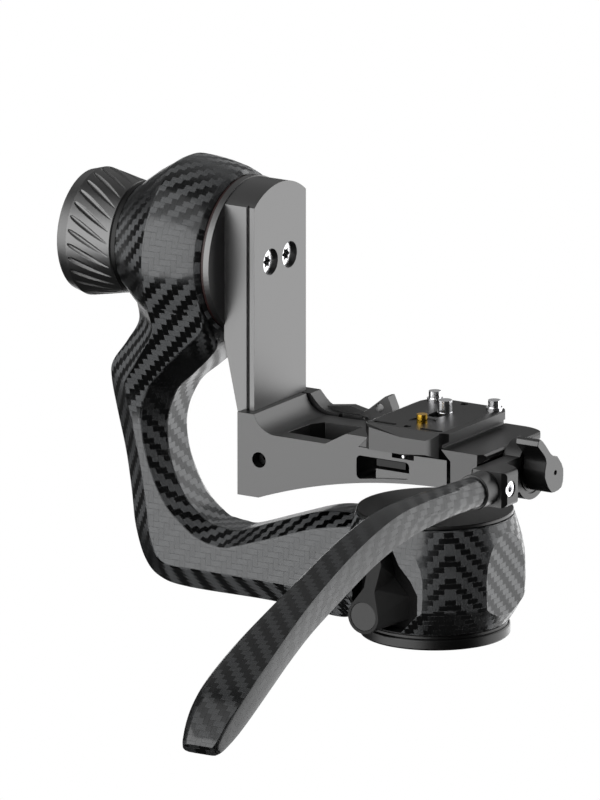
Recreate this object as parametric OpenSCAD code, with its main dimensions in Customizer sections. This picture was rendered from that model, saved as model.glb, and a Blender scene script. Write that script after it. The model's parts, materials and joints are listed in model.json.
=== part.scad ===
// Gimbal tripod head with a C-shaped carbon frame, a swing arm and a quick release cradle.
// X runs along the tilt axis from the drag knob to the camera, Y is the lens axis, Z is up.
// The origin is the middle of the base's bottom face, on the pan axis.

/* [Frame] */
// Height of the tilt axis above the bottom face
axis_z = 161; // [158:0.5:166]
// Reach of the frame from the pan axis to its outermost point
arm_reach = 168; // [164:0.5:176]
// Half depth of the frame's arm, from its middle to its front face
arm_half_y = 17.5; // [16:0.5:20]
// Rings between two stations of the arm's outline
arm_rings = 3; // [2:1:4]
// Distance from the frame's outermost point to the front of its hub
hub_set = 66.5; // [64:0.5:68]
// Length of the hub's barrel
hub_len = 27.8; // [25:0.1:29]
// Radius of the barrel at its widest, at the back
hub_r = 41.6; // [40:0.1:43]
// Radius of the barrel at its front
hub_front_r = 37; // [36:0.1:38]
// Length of the dome behind the barrel
dome_len = 23.7; // [22:0.1:25]
// Radius of the dome's end
dome_r = 25.5; // [24.5:0.1:27]
// Width of the bevel round the hub's front
hub_bevel = 2; // [1:0.1:3]

/* [Pan housing] */
// Height of the housing's lower edge
housing_z = 7; // [6.8:0.1:8]
// Inset of the lower edge from the widest radius
housing_foot_set = 6.9; // [6:0.1:7.3]
// Widest radius of the housing
housing_r = 40.4; // [40:0.1:42]
// Height at which the lower bevel ends
housing_bevel_z = 18.5; // [18:0.1:21]
// Height up to which the housing keeps its widest radius
housing_belt_z = 33; // [31:0.5:36]
// Height of the housing's top
housing_top_z = 55.5; // [55:0.1:58]
// Inset of the top from the widest radius
housing_top_set = 4.9; // [4:0.1:5.2]
// Inset of the three flat facets from the widest radius
facet_set = 3.4; // [3:0.1:4]
// Radius of the lined bore
liner_r = 22; // [21:0.1:23]
// Inset of the cap from the housing's top
cap_set = 0.3; // [0.2:0.1:1]
// Thickness of the cap
cap_t = 1.5; // [1:0.1:2]
// Shadow gap under the cap's rim
cap_gap = 0.5; // [0.3:0.1:0.8]

/* [Base] */
// Radius of the flange that sits on the tripod
flange_r = 33.7; // [33:0.1:35]
// Thickness of the flange
flange_t = 5; // [4:0.1:5.3]
// Radius of the step on the flange
step_r = 32.5; // [31.5:0.1:33]
// Height of the step
step_t = 1.3; // [1:0.1:1.5]
// Radius of the wall of the 3/8 inch tripod thread
tripod_thread_r = 4; // [3.9:0.05:4.2]
// Depth of the tripod thread
tripod_thread_len = 12; // [10:0.5:12.5]
// Radius of the thread's boss
boss_r = 7.5; // [7:0.1:8]
// Height of the boss
boss_h = 14; // [13.5:0.1:15]

/* [Bearings and shafts] */
// Radius of both shafts
shaft_r = 10; // [9.5:0.1:10.5]
// Outer radius of the ball bearings
bearing_r = 18.5; // [18:0.1:19]
// Width of a bearing
bearing_w = 9; // [8:0.5:9.5]
// Radius of a ball
ball_r = 2.4; // [2:0.1:2.5]
// Balls in a bearing
ball_count = 10; // [8:1:12]
// Clearance of a running fit, on the radius
run_fit = 0.05; // [0.02:0.01:0.1]
// Height of the lower pan bearing
pan_bearing_z = 26; // [25:0.5:27]
// Distance between the two pan bearings
pan_bearing_gap = 9; // [8:0.5:10]
// Distance between the two tilt bearings
tilt_bearing_gap = 19; // [18:0.5:22]

/* [Pan lock] */
// Place of the lever's axis across the housing
lock_x = -13; // [-13.5:0.1:-12.8]
// Height of the lever's axis
lock_z = 14; // [13.5:0.1:14.5]
// Distance of the lever's front face from the pan axis
lock_front_y = 40; // [39:0.1:42]
// Distance of the pocket's floor from the pan axis
pocket_y = 23.5; // [23:0.1:24]
// Radius of the lever's round end, at the front
lock_r = 7.9; // [7:0.1:8]
// Radius of the round end at the back
lock_back_r = 6.6; // [6:0.1:6.8]
// Length of the lever from its axis
lock_len = 28; // [26:0.5:29]
// Half width of the lever's neck
lock_neck = 2.8; // [2.4:0.1:3]
// Half width of the lever's tip
lock_tip = 3.2; // [2.8:0.1:3.4]
// Lean of the lever towards the camera's side, in degrees
lock_lean = 14; // [12:1:15]
// Radius of the lock's clamp screw
lock_screw_r = 2.5; // [2:0.1:2.5]
// Radius of the round cover on the lever
lock_cap_r = 6.6; // [6:0.1:6.7]

/* [Swing arm] */
// Gap between the hub and the arm's disc
rotor_gap = 1.5; // [1:0.1:2]
// Radius of the arm's disc
disc_r = 35.5; // [35:0.1:36]
// Thickness of the disc
disc_t = 3; // [2.5:0.1:4]
// Half width of the bar
bar_half = 21.8; // [21:0.1:22]
// Thickness of the bar at the disc
bar_t = 11.4; // [11:0.1:12]
// Thickness of the bar at its foot
bar_foot_t = 4.4; // [4:0.1:5]
// Length of the bar's taper
bar_taper = 33; // [28:1:36]
// Drop from the tilt axis to the bar's foot
bar_drop = 101; // [98:0.5:102]
// Radius of the bar's round top
bar_top_r = 35; // [34:0.1:35.4]
// Width of the V groove along the rail
groove_t = 1.6; // [1.4:0.1:2]
// Depth of the V groove
groove_d = 1.5; // [1.2:0.1:1.8]
// Thickness of the rail's ridge
ridge_t = 2.5; // [2.2:0.1:3]
// Distance of the two screws from the tilt axis
arm_screw_y = 8; // [7.5:0.1:8.5]
// Radius of the screws' heads
arm_screw_head_r = 6; // [5.5:0.1:6.3]
// Radius of the screws' shanks
arm_screw_r = 3; // [2.5:0.1:3]
// Depth of the heads below the rail's face
arm_screw_set = 2; // [1.5:0.1:2.5]

/* [Drag knob] */
// Radius of the knob's rim
knob_r = 29.4; // [28:0.1:30]
// Radius of the knob's front end, by the hub
knob_neck_r = 23; // [22:0.1:24]
// Length of the knob
knob_len = 27.5; // [26:0.5:29]
// Width of the smooth band round the rim
knob_band = 5.5; // [5:0.1:7]
// Number of grooves
knob_grooves = 24; // [20:1:28]
// Radius of a groove at its wide end
knob_groove_r = 1.5; // [1.2:0.1:1.6]
// Slant of the grooves, in degrees
knob_slant = 30; // [25:1:34]

/* [Cradle] */
// Drop from the tilt axis to the cradle's bed
bed_drop = 73; // [72:0.5:74]
// Half depth of the cradle
cradle_half = 27; // [26.5:0.1:28]
// Height of the cradle from its foot to its bed
cradle_h = 30.8; // [30:0.1:31]
// Rise of the arch under the cradle
arch_rise = 17.8; // [17:0.1:18.2]
// Length of the flat foot under the rail
foot_len = 11; // [9:0.5:12]
// Height of the shoulder at the rail above the bed
shoulder_h = 7.3; // [6.5:0.1:8]
// Length of the shoulder's flat top
shoulder_len = 8.7; // [8:0.1:9]
// Depth of the shelf below the bed
shelf_drop = 1; // [0.8:0.1:1.5]
// Reach of the cradle's lips behind the rail's face
lip_reach = 5.7; // [5.5:0.1:6]
// Clearance of sliding faces
slide_fit = 0.15; // [0.1:0.01:0.2]
// Width of the clamp's slit
slit_w = 1.2; // [1:0.1:1.5]
// Distance of the slit from the middle
slit_y = 17; // [16.5:0.1:17.5]
// Radius of the rail screw's head
rail_screw_head_r = 3.2; // [3:0.1:3.3]
// Radius of the rail screw's shank
rail_screw_r = 2.5; // [2:0.1:2.6]

/* [Quick release] */
// Place of the plate's middle line, across the lens axis
plate_x = 0.8; // [0.5:0.1:1]
// Half width of the plate's dovetail at the bed
flange_half = 24; // [23.5:0.1:24.5]
// Half width of the dovetail's neck
neck_half = 19; // [18.5:0.1:19.5]
// Height of the dovetail
dovetail_h = 5; // [4.6:0.1:5]
// Half width of the plate's pad
pad_half = 20.9; // [20.5:0.1:21.5]
// Height of the pad's lower edge above the bed
pad_z = 7.5; // [7.2:0.1:8]
// Height of the plate's top above the bed
plate_h = 12; // [11.5:0.1:12.5]
// Front end of the plate's flat top
plate_front = 27.2; // [26.5:0.1:28]
// Back end of the plate
plate_back = 26.3; // [25.5:0.1:27]
// Gap between the plate and the bed
bed_gap = 0.3; // [0.2:0.05:0.5]
// Radius of the camera's stud, 1/4 inch
stud_r = 3.175; // [3.1:0.005:3.2]
// Height of the stud above the plate
stud_h = 5.4; // [5:0.1:6.5]
// Length of the moving jaw across the plate
jaw_len = 22; // [21:0.1:22.1]
// Thickness of the jaw's overhanging lip
jaw_lip_t = 3.4; // [3:0.1:3.6]
// Gap between the cradle's end and the jaw
jaw_gap = 2.4; // [2:0.1:2.6]
// Drop from the bed to the clamp bolt's axis
bolt_drop = 6; // [5.8:0.1:6.3]
// Radius of the clamp bolt
bolt_r = 4; // [3.8:0.1:4]

/* [Handle] */
// Length of the handle from the bolt's axis to its tip
handle_len = 274; // [260:1:290]
// Drop of the handle's tip below the bolt's axis
handle_drop = 65; // [60:1:68]
// Widest width of the blade
blade_w = 28; // [26:0.5:29]
// Sideways drift of the blade's tip, away from the clamp lever
blade_drift = 1; // [0:0.5:3]
// Thickness of the blade at its hand end
blade_t = 13; // [12:0.1:14]
// Radius of the handle's neck
neck_r = 7; // [6.8:0.1:7.2]
// Radius of the hub on the bolt
handle_hub_r = 13.7; // [13:0.1:14]
// Thickness of the hub
handle_hub_t = 8.6; // [8:0.1:8.8]
// Width of the handle's block along the bolt
block_w = 18.7; // [18:0.1:19]
// Height of the block
block_h = 16; // [15.6:0.1:16.4]
// Distance of the block's front face from the bolt's axis
block_front = 40; // [39:0.5:42]
// Length of the block
block_len = 14; // [13:0.1:15]
// Radius of the collar tube
collar_r = 8; // [7.8:0.1:8]
// Length of the collar tube
collar_len = 9.3; // [9:0.1:10]
// Thickness of the clamp lever
lever_t = 11.5; // [10.5:0.1:12]
// Radius of the clamp lever's boss
lever_r = 8.9; // [8.5:0.1:9]
// Reach of the clamp lever's tip
lever_len = 22; // [21:0.1:22.4]

/* [Hidden] */
$fn = 96;

// Overrun of every cut past the face that it opens
cut = 2;
// Fineness of small round features
fine = 32;

// Radii of the housing and its cap
housing_foot_r = housing_r - housing_foot_set;
housing_top_r = housing_r - housing_top_set;
facet_d = housing_r - facet_set;
cap_r = housing_top_r - cap_set;

// Places along the tilt axis
hub_front_x = hub_set - arm_reach;
hub_back_x = hub_front_x - hub_len;
dome_x = hub_back_x - dome_len;
disc_back_x = hub_front_x + rotor_gap;
disc_front_x = disc_back_x + disc_t;
bar_front_x = disc_front_x + bar_t;
ridge_x = bar_front_x + groove_t;
rail_x = ridge_x + ridge_t;
bar_foot_z = axis_z - bar_drop;

// Places of the quick release
bed_z = axis_z - bed_drop;
bolt_z = bed_z - bolt_drop;
plate_top_z = bed_z + plate_h;
pad_low_z = bed_z + pad_z;
jaw_top_z = bed_z + dovetail_h;
jaw_clear = 0.3;
plate_flange_z = bed_z + bed_gap;
jaw_x = plate_x + neck_half + jaw_clear;
jaw_end_x = jaw_x + jaw_len;
jaw_bottom_x = plate_x + flange_half + jaw_clear;
cradle_end_x = jaw_bottom_x - jaw_gap;
fixed_tip_x = plate_x - neck_half - jaw_clear;
fixed_bottom_x = plate_x - flange_half - jaw_clear;
mount_x = jaw_end_x + jaw_clear;
hub_out_x = mount_x + handle_hub_t;
block_out_x = mount_x + block_w;
block_side = 1.7;
block_x = mount_x + block_w / 2 - block_side;
lever_x = hub_out_x + jaw_clear;
lever_end_x = lever_x + lever_t;

module along_x(x) { translate([x, 0, 0]) rotate([0, 90, 0]) children(); }
module along_y(y) { translate([0, y, 0]) rotate([-90, 0, 0]) children(); }
module slab_y(y0, y1) { translate([0, y1, 0]) rotate([90, 0, 0]) linear_extrude(y1 - y0) children(); }
module slab_x(x0, x1) { translate([x0, 0, 0]) rotate([90, 0, 90]) linear_extrude(x1 - x0) children(); }
module on_tilt() { translate([0, 0, axis_z]) children(); }
module box(low, high) { translate(low) cube(high - low); }
module tube(r_in, r_out, h) {
  difference() {
    cylinder(r = r_out, h = h);
    translate([0, 0, -cut]) cylinder(r = r_in, h = h + 2 * cut);
  }
}

// A smooth curve through rows of values, with k steps from each row to the next
function between(a, b, c, d, t) =
  (2 * b + (c - a) * t + (2 * a - 5 * b + 4 * c - d) * t * t + (3 * b - a - 3 * c + d) * t * t * t) / 2;
function dense(rows, k) = let (last = len(rows) - 1) concat(
  [for (i = [0 : last - 1]) for (j = [0 : k - 1])
    between(rows[max(i - 1, 0)], rows[i], rows[i + 1], rows[min(i + 2, last)], j / k)],
  [rows[last]]);

// A closed skin over rings that all have the same number of points
module skin(rings) {
  n = len(rings[0]);
  last = len(rings) - 1;
  sides = [for (i = [0 : last - 1]) for (j = [0 : n - 1])
    let (a = i * n + j, b = i * n + (j + 1) % n) each [[a, b, b + n], [a, b + n, a + n]]];
  first_cap = [for (j = [1 : n - 2]) [0, j + 1, j]];
  last_cap = [for (j = [1 : n - 2]) [last * n, last * n + j, last * n + j + 1]];
  polyhedron(points = [for (r = rings) each r], faces = concat(sides, first_cap, last_cap));
}

// The arm's outline is drawn on a grid: 168 steps out to its outermost point, 161 up to the tilt
// axis, 17.5 to its front face and 66.5 from the outermost point to the hub's front. A row holds
// the outer face's place and half depth, the front face's two edges with their half depth, and
// the inner face's place and half depth. A longer reach stretches only the run to the housing.
outline_shares = [168, 161, 17.5, 66.5];
hub_step = hub_set / outline_shares[3];
height_step = axis_z / outline_shares.y;
depth_step = arm_half_y / outline_shares.z;
stretch = arm_reach - outline_shares.x * hub_step;
stretch_shares = [-97, -30];
arm_shares = [
  [-153, 148, 10,      -129.3, 148, 39.5,    -103, 148,      -103, 148, 24],
  [-152, 136, 9,       -129, 137, 35.5,      -103, 137,      -102.5, 131, 23],
  [-151.5, 125, 7.5,   -129.5, 127.5, 33,    -105, 129.5,    -103, 122, 19],
  [-157.8, 114.5, 7.5, -139.5, 113.5, 28,    -117.5, 118.5,  -110, 114, 15],
  [-166.7, 103.3, 5.5, -148, 102, 23.5,      -131, 106,      -120, 105, 12],
  [-168, 95, 4.5,      -151, 95, 20,         -139.9, 95.5,   -130, 95.5, 10],
  [-165, 81, 4.5,      -149, 79.5, 17.7,     -144.1, 80.5,   -135.7, 80, 8.5],
  [-160.4, 62.5, 4.5,  -145.2, 62.5, 17.5,   -140.9, 63,     -134, 62.5, 8.5],
  [-157.5, 44.7, 4.5,  -142, 44.5, 17.5,     -132, 44.5,     -126, 46, 8.5],
  [-155.3, 28, 4.5,    -139.8, 28.5, 17.5,   -120, 33.7,     -115, 37, 8.5],
  [-150.2, 13.6, 4.5,  -136, 19.2, 17.5,     -113, 30,       -110, 35.6, 8.5],
  [-142, 6.2, 4.5,     -129.5, 16, 17.5,     -106.3, 28.5,   -104.3, 35, 8.5],
  [-126.5, 3.6, 4.5,   -117, 15.8, 17.5,     -99, 28.5,      -97, 35.2, 8.5],
  [-84, 3.6, 5,        -82, 15.4, 17.5,      -77, 35.4,      -77, 42.2, 8.5],
  [-55, 3.6, 11,       -55, 15, 17.5,        -55, 43,        -55, 49.6, 8.5],
  [-39, 4.2, 14,       -39, 15, 17.5,        -39, 46.5,      -39, 51.5, 8.5],
  [-30, 8.5, 16,       -30, 15, 17.5,        -30, 48,        -30, 52, 8.5]];
function stretched(x) = x * hub_step - stretch *
  min(1, max(0, (stretch_shares[1] - x) / (stretch_shares[1] - stretch_shares[0])));
function arm_point(x, y, z) = [stretched(x), y * depth_step, z * height_step];
function arm_ring(s) = let (
    half = [arm_point(s[0], s[2], s[1]), arm_point(s[3], s[5], s[4]),
            arm_point(s[6], s[5], s[7]), arm_point(s[8], s[10], s[9])])
  concat([for (p = half) [p.x, -p.y, p.z]], [for (i = [3 : -1 : 0]) half[i]]);

// Bearings: two rings and the balls between them, standing on their own end about their axis
race_share = 0.33;
ball_fit = 0.05;
race_t = (bearing_r - shaft_r) * race_share;
ball_orbit = (bearing_r + shaft_r) / 2;
module race(r_in, r_out) {
  difference() {
    tube(r_in, r_out, bearing_w);
    translate([0, 0, bearing_w / 2]) rotate_extrude() translate([ball_orbit, 0]) circle(ball_r + ball_fit);
  }
}
module inner_race() { race(shaft_r, shaft_r + race_t); }
module outer_race() { race(bearing_r - race_t, bearing_r); }
module ball_ring() {
  for (i = [0 : ball_count - 1])
    rotate(i * 360 / ball_count) translate([ball_orbit, 0, bearing_w / 2]) sphere(ball_r, $fn = fine);
}

// Places of the bearings: the pan pair stands above the lock, the tilt pair runs back from the hub
pan_upper_z = pan_bearing_z + bearing_w + pan_bearing_gap;
pan_bearing_top = pan_upper_z + bearing_w;
bearing_set = 1.5;
tilt_front_x = hub_front_x - bearing_set;
tilt_bearing_x = tilt_front_x - bearing_w;
tilt_inner_x = tilt_bearing_x - tilt_bearing_gap - bearing_w;
module at_pan_bearings() { for (z = [pan_bearing_z, pan_upper_z]) translate([0, 0, z]) children(); }
module at_tilt_bearings() { on_tilt() for (x = [tilt_bearing_x, tilt_inner_x]) along_x(x) children(); }

// Base flange with the tripod thread in its boss, and the spindle screwed to it
flange_chamfer = 0.6;
spindle_foot_r = 12.5;
spindle_foot_t = 3.7;
base_screw_r = 1.5;
base_screw_head_r = 2.6;
base_screw_orbit = 10;
base_screw_len = 9;
base_screws = 4;
screw_hole_fit = 0.1;
spindle_z = flange_t + step_t;
spindle_shoulder_r = 12;
spindle_shoulder_t = 2;
nut_t = 2;
nut_r = 13.5;
spindle_top = pan_bearing_top + nut_t;
module at_base_screws() {
  for (i = [0 : base_screws - 1])
    rotate((i + 0.5) * 360 / base_screws) translate([base_screw_orbit, 0, 0]) children();
}
module countersunk(head_r, shank_r, len, key_r) {
  sink = head_r - shank_r;
  difference() {
    union() {
      cylinder(r1 = head_r, r2 = shank_r, h = sink, $fn = fine);
      cylinder(r = shank_r, h = len, $fn = fine);
    }
    translate([0, 0, -cut]) cylinder(r = key_r, h = cut + sink, $fn = 6);
  }
}
module base_flange() {
  color("dimgray") difference() {
    union() {
      rotate_extrude() polygon([[0, 0], [flange_r - flange_chamfer, 0], [flange_r, flange_chamfer],
        [flange_r, flange_t - flange_chamfer], [flange_r - flange_chamfer, flange_t],
        [step_r, flange_t], [step_r, spindle_z], [0, spindle_z]]);
      cylinder(r = boss_r, h = boss_h);
    }
    translate([0, 0, -cut]) cylinder(r = tripod_thread_r, h = tripod_thread_len + cut);
    at_base_screws() {
      translate([0, 0, -cut]) cylinder(r = base_screw_r, h = spindle_z + 2 * cut, $fn = fine);
      cylinder(r1 = base_screw_head_r, r2 = base_screw_r, h = base_screw_head_r - base_screw_r, $fn = fine);
    }
  }
}
module flange_screws() {
  color("silver") at_base_screws()
    countersunk(base_screw_head_r, base_screw_r, base_screw_len, base_screw_r / 2);
}
module pan_spindle() {
  color("silver") difference() {
    union() {
      translate([0, 0, spindle_z]) cylinder(r = spindle_foot_r, h = spindle_foot_t);
      translate([0, 0, spindle_z]) cylinder(r = shaft_r, h = spindle_top - spindle_z);
      translate([0, 0, pan_bearing_z - spindle_shoulder_t])
        cylinder(r = spindle_shoulder_r, h = spindle_shoulder_t);
    }
    translate([0, 0, spindle_z - cut]) cylinder(r = boss_r, h = boss_h - spindle_z + cut);
    at_base_screws() cylinder(r = base_screw_r, h = base_screw_len, $fn = fine);
  }
}
module spindle_nut() { color("gray") translate([0, 0, pan_bearing_top]) tube(shaft_r, nut_r, nut_t); }
module pan_bearing_inner_races() { color("lightsteelblue") at_pan_bearings() inner_race(); }
module pan_bearing_outer_races() { color("lightsteelblue") at_pan_bearings() outer_race(); }
module pan_bearing_balls() { color("white") at_pan_bearings() ball_ring(); }
module pan_bearing_spacer() {
  color("silver") translate([0, 0, pan_bearing_z + bearing_w])
    tube(shaft_r, spindle_shoulder_r, pan_bearing_gap);
}
seal_in = 25;
seal_gap = 0.2;
module pan_seal_ring() {
  color("black") translate([0, 0, spindle_z])
    tube(seal_in, step_r - flange_chamfer, housing_z - spindle_z - seal_gap);
}

// The housing is turned, cut flat on three sides and hollowed for the lock's lever
belt_gain = 0.2;
side_swell = 0.6;
module housing_body() {
  rotate_extrude() polygon([[0, housing_z], [housing_foot_r, housing_z],
    [housing_r - belt_gain, housing_bevel_z], [housing_r, (housing_bevel_z + housing_belt_z) / 2],
    [housing_r, housing_belt_z],
    [(housing_r + housing_top_r) / 2 + side_swell, (housing_belt_z + housing_top_z) / 2],
    [housing_top_r, housing_top_z], [0, housing_top_z]]);
}
module facet_cuts() {
  big = housing_r + cut;
  for (a = [0, 90, -90]) rotate(a) box([facet_d, -big, 0], [big, big, housing_top_z + cut]);
}

// Outline of the lever's pocket, from the lever's axis, as shares of the lever's length
pocket_shares = [[-0.36, -0.5], [0.5, -0.5], [0.55, -0.25], [0.66, -0.15], [0.945, 0.12],
  [0.95, 0.45], [0.82, 0.67], [0.6, 0.9], [0.45, 1.2], [-0.1, 1.24], [-0.36, 0.9]];
module lock_pocket() {
  slab_y(-lock_front_y - cut, -pocket_y) translate([lock_x, lock_z])
    polygon([for (p = pocket_shares) lock_len * p]);
}
module lock_screw_hole() {
  translate([lock_x, 0, lock_z]) along_y(-lock_front_y)
    cylinder(r = lock_screw_r + screw_hole_fit, h = lock_front_y, $fn = fine);
}
module frame_hub() {
  mid_r = (hub_r + hub_front_r) / 2;
  on_tilt() along_x(dome_x) rotate_extrude() polygon([[0, 0], [dome_r, 0],
    [(dome_r + hub_r) / 2 + hub_bevel - side_swell, dome_len / 2],
    [hub_r - side_swell, dome_len - hub_bevel], [hub_r, dome_len], [mid_r, dome_len + hub_len / 2],
    [hub_front_r, dome_len + hub_len - hub_bevel], [hub_front_r - hub_bevel, dome_len + hub_len],
    [0, dome_len + hub_len]]);
}
hub_bore_r = 24;
hub_wall = 3;
knob_thread_r = 6;
liner_x = dome_x + hub_wall;
module carbon_frame() {
  color("#222222") difference() {
    union() {
      skin([for (s = dense(arm_shares, arm_rings)) arm_ring(s)]);
      difference() {
        housing_body();
        facet_cuts();
      }
      frame_hub();
    }
    translate([0, 0, -cut]) cylinder(r = liner_r, h = housing_top_z + 2 * cut);
    on_tilt() {
      along_x(liner_x) cylinder(r = hub_bore_r, h = -liner_x / 2);
      along_x(dome_x - cut) cylinder(r = knob_thread_r + run_fit, h = hub_wall + 2 * cut);
      along_x(dome_x - 2 * cut) cylinder(r = dome_r + cap_gap, h = 2 * cut);
    }
    lock_pocket();
    lock_screw_hole();
  }
}

// Aluminium liners that hold the outer races
liner_shoulder_r = 16.5;
liner_lift = 0.3;
module pan_liner() {
  color("gray") difference() {
    translate([0, 0, housing_z + liner_lift])
      cylinder(r = liner_r, h = housing_top_z - housing_z - liner_lift);
    translate([0, 0, -cut]) cylinder(r = bearing_r, h = pan_bearing_z + bearing_w + cut);
    translate([0, 0, pan_bearing_z]) cylinder(r = liner_shoulder_r, h = housing_top_z);
    translate([0, 0, pan_upper_z]) cylinder(r = bearing_r, h = housing_top_z);
    lock_screw_hole();
  }
}
clamp_z = 10.5;
clamp_t = 7;
clamp_slit = 1.5;
lock_screw_end = 6;
module pan_clamp_collar() {
  color("silver") difference() {
    translate([0, 0, clamp_z]) tube(shaft_r + run_fit, bearing_r, clamp_t);
    box([-liner_r, -clamp_slit / 2, 0], [-shaft_r / 2, clamp_slit / 2, pan_bearing_z]);
    translate([lock_x, 0, lock_z]) along_y(-liner_r)
      cylinder(r = lock_screw_r + run_fit, h = liner_r * 2, $fn = fine);
  }
}
cap_boss_in = 14.5;
cap_chamfer = 0.4;
module pan_cap() {
  boss_top = housing_top_z - pan_bearing_top;
  color("#303030") difference() {
    union() {
      translate([0, 0, housing_top_z + cap_gap]) rotate_extrude() polygon([[0, 0], [cap_r, 0],
        [cap_r, cap_t - cap_chamfer], [cap_r - cap_chamfer, cap_t], [0, cap_t]]);
      translate([0, 0, housing_top_z]) cylinder(r = cap_r - 2 * cap_gap, h = cap_gap);
      translate([0, 0, pan_bearing_top]) cylinder(r = bearing_r, h = boss_top);
    }
    translate([0, 0, pan_bearing_top - cut]) cylinder(r = cap_boss_in, h = boss_top + cut);
  }
}
module tilt_liner() {
  on_tilt() color("gray") difference() {
    along_x(liner_x) cylinder(r = hub_bore_r, h = tilt_front_x - liner_x);
    along_x(liner_x - cut) cylinder(r = liner_shoulder_r, h = -liner_x);
    along_x(liner_x - cut) cylinder(r = bearing_r, h = tilt_inner_x + bearing_w - liner_x + cut);
    along_x(tilt_bearing_x) cylinder(r = bearing_r, h = -tilt_bearing_x / 2);
  }
}
module tilt_bearing_outer_races() { color("lightsteelblue") at_tilt_bearings() outer_race(); }
module tilt_bearing_inner_races() { color("lightsteelblue") at_tilt_bearings() inner_race(); }
module tilt_bearing_balls() { color("white") at_tilt_bearings() ball_ring(); }
module tilt_bearing_spacer() {
  color("silver") on_tilt() along_x(tilt_inner_x + bearing_w)
    tube(shaft_r, spindle_shoulder_r, tilt_bearing_gap);
}
tilt_seal_in = 31;
tilt_seal_t = 1.2;
module tilt_seal_ring() {
  color("darkred") on_tilt() along_x(hub_front_x) tube(tilt_seal_in, hub_front_r - hub_bevel, tilt_seal_t);
}
hub_collar_t = 2;
module hub_collar() {
  color("black") on_tilt() along_x(dome_x - hub_collar_t)
    tube(knob_thread_r + run_fit, dome_r, hub_collar_t);
}

// Lever of the pan lock: a round boss and a paddle that flare to one side at the back
lock_back_gap = 0.5;
lock_back_y = pocket_y + lock_back_gap;
lock_screw_grip = 6;
lock_cap_t = 1.2;
lock_slice = 0.5;
neck_share = 0.45;
tip_share = 0.92;
lock_foot_shares = [[0.514, -0.09], [0.514, 0.275], [0.25, 0.557], [-0.1, 0.557], [-0.15, -0.1]];
lock_head_shares = [[0.25, 0.557], [0.16, 0.83], [0.15, 1], [0.02, 1], [-0.1, 0.557]];
module lock_front(r, reach_share) {
  reach = lock_len * reach_share;
  translate([reach * sin(lock_lean), 0, reach * cos(lock_lean)])
    along_y(-lock_front_y) cylinder(r = r, h = lock_slice, $fn = fine);
}
module lock_back(shares) {
  slab_y(-lock_back_y - lock_slice, -lock_back_y) polygon([for (p = shares) lock_len * p]);
}
module pan_lock_lever() {
  color("#3a3a3a") translate([lock_x, 0, lock_z]) difference() {
    union() {
      along_y(-lock_front_y) cylinder(r1 = lock_r, r2 = lock_back_r, h = lock_front_y - lock_back_y);
      hull() {
        lock_front(lock_r, 0);
        lock_front(lock_neck, neck_share);
        lock_back(lock_foot_shares);
      }
      hull() {
        lock_front(lock_neck, neck_share);
        lock_front(lock_tip, tip_share);
        lock_back(lock_head_shares);
      }
    }
    along_y(-lock_back_y - lock_screw_grip)
      cylinder(r = lock_screw_r, h = lock_screw_grip + cut, $fn = fine);
    along_y(-lock_front_y - cut) cylinder(r = lock_cap_r, h = lock_cap_t + cut);
  }
}
module pan_lock_screw() {
  color("silver") translate([lock_x, 0, lock_z]) along_y(-lock_back_y - lock_screw_grip)
    cylinder(r = lock_screw_r, h = lock_back_y + lock_screw_grip + lock_screw_end, $fn = fine);
}
module pan_lock_cover() {
  color("#444444") translate([lock_x, 0, lock_z]) along_y(-lock_front_y + cap_gap / 2)
    cylinder(r = lock_cap_r, h = lock_cap_t - cap_gap / 2);
}

// Swing arm: disc, bar with the rail's V grooves, and a pocket for the shaft's flange
shaft_flange_r = 15;
flange_pocket = 8;
disc_step = 0.4;
module bar_slice() {
  intersection() {
    translate([-bar_half, -bar_drop]) square([2 * bar_half, bar_drop + bar_top_r]);
    union() {
      circle(bar_top_r);
      translate([-bar_half, -bar_drop]) square([2 * bar_half, bar_drop]);
    }
  }
}
function groove_side(side, clear) = [
  [bar_front_x + clear, side * (bar_half + cut)], [bar_front_x + clear, side * (bar_half + clear)],
  [(bar_front_x + ridge_x) / 2, side * (bar_half - groove_d + clear)],
  [ridge_x - clear, side * (bar_half + clear)], [ridge_x - clear, side * (bar_half + cut)]];
module arm_screw_holes() {
  for (side = [-1, 1]) translate([0, side * arm_screw_y, 0]) {
    along_x(disc_back_x - cut) cylinder(r = arm_screw_r, h = rail_x - disc_back_x + 2 * cut, $fn = fine);
    along_x(rail_x - arm_screw_set) cylinder(r = arm_screw_head_r, h = arm_screw_set + cut);
    along_x(rail_x - arm_screw_set - arm_screw_head_r + arm_screw_r)
      cylinder(r1 = arm_screw_r, r2 = arm_screw_head_r, h = arm_screw_head_r - arm_screw_r, $fn = fine);
  }
}
module swing_arm() {
  foot_back_x = bar_front_x - bar_foot_t;
  color("#333333") difference() {
    union() {
      on_tilt() along_x(disc_back_x) cylinder(r = disc_r, h = disc_t);
      on_tilt() slab_x(disc_front_x - disc_step, rail_x) bar_slice();
    }
    slab_y(-bar_half - cut, bar_half + cut) polygon([
      [disc_back_x - cut, axis_z - disc_r - disc_step], [disc_front_x - disc_step / 2, axis_z - disc_r],
      [foot_back_x, axis_z - disc_r - bar_taper], [foot_back_x, bar_foot_z - cut],
      [disc_back_x - cut, bar_foot_z - cut]]);
    for (side = [-1, 1]) translate([0, 0, bar_foot_z - cut])
      linear_extrude(bar_drop + disc_r + 2 * cut) polygon(groove_side(side, 0));
    on_tilt() {
      arm_screw_holes();
      along_x(disc_back_x - cut) cylinder(r = shaft_flange_r, h = flange_pocket + cut);
    }
  }
}
shaft_back = 4;
shaft_end_x = tilt_inner_x - shaft_back;
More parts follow.
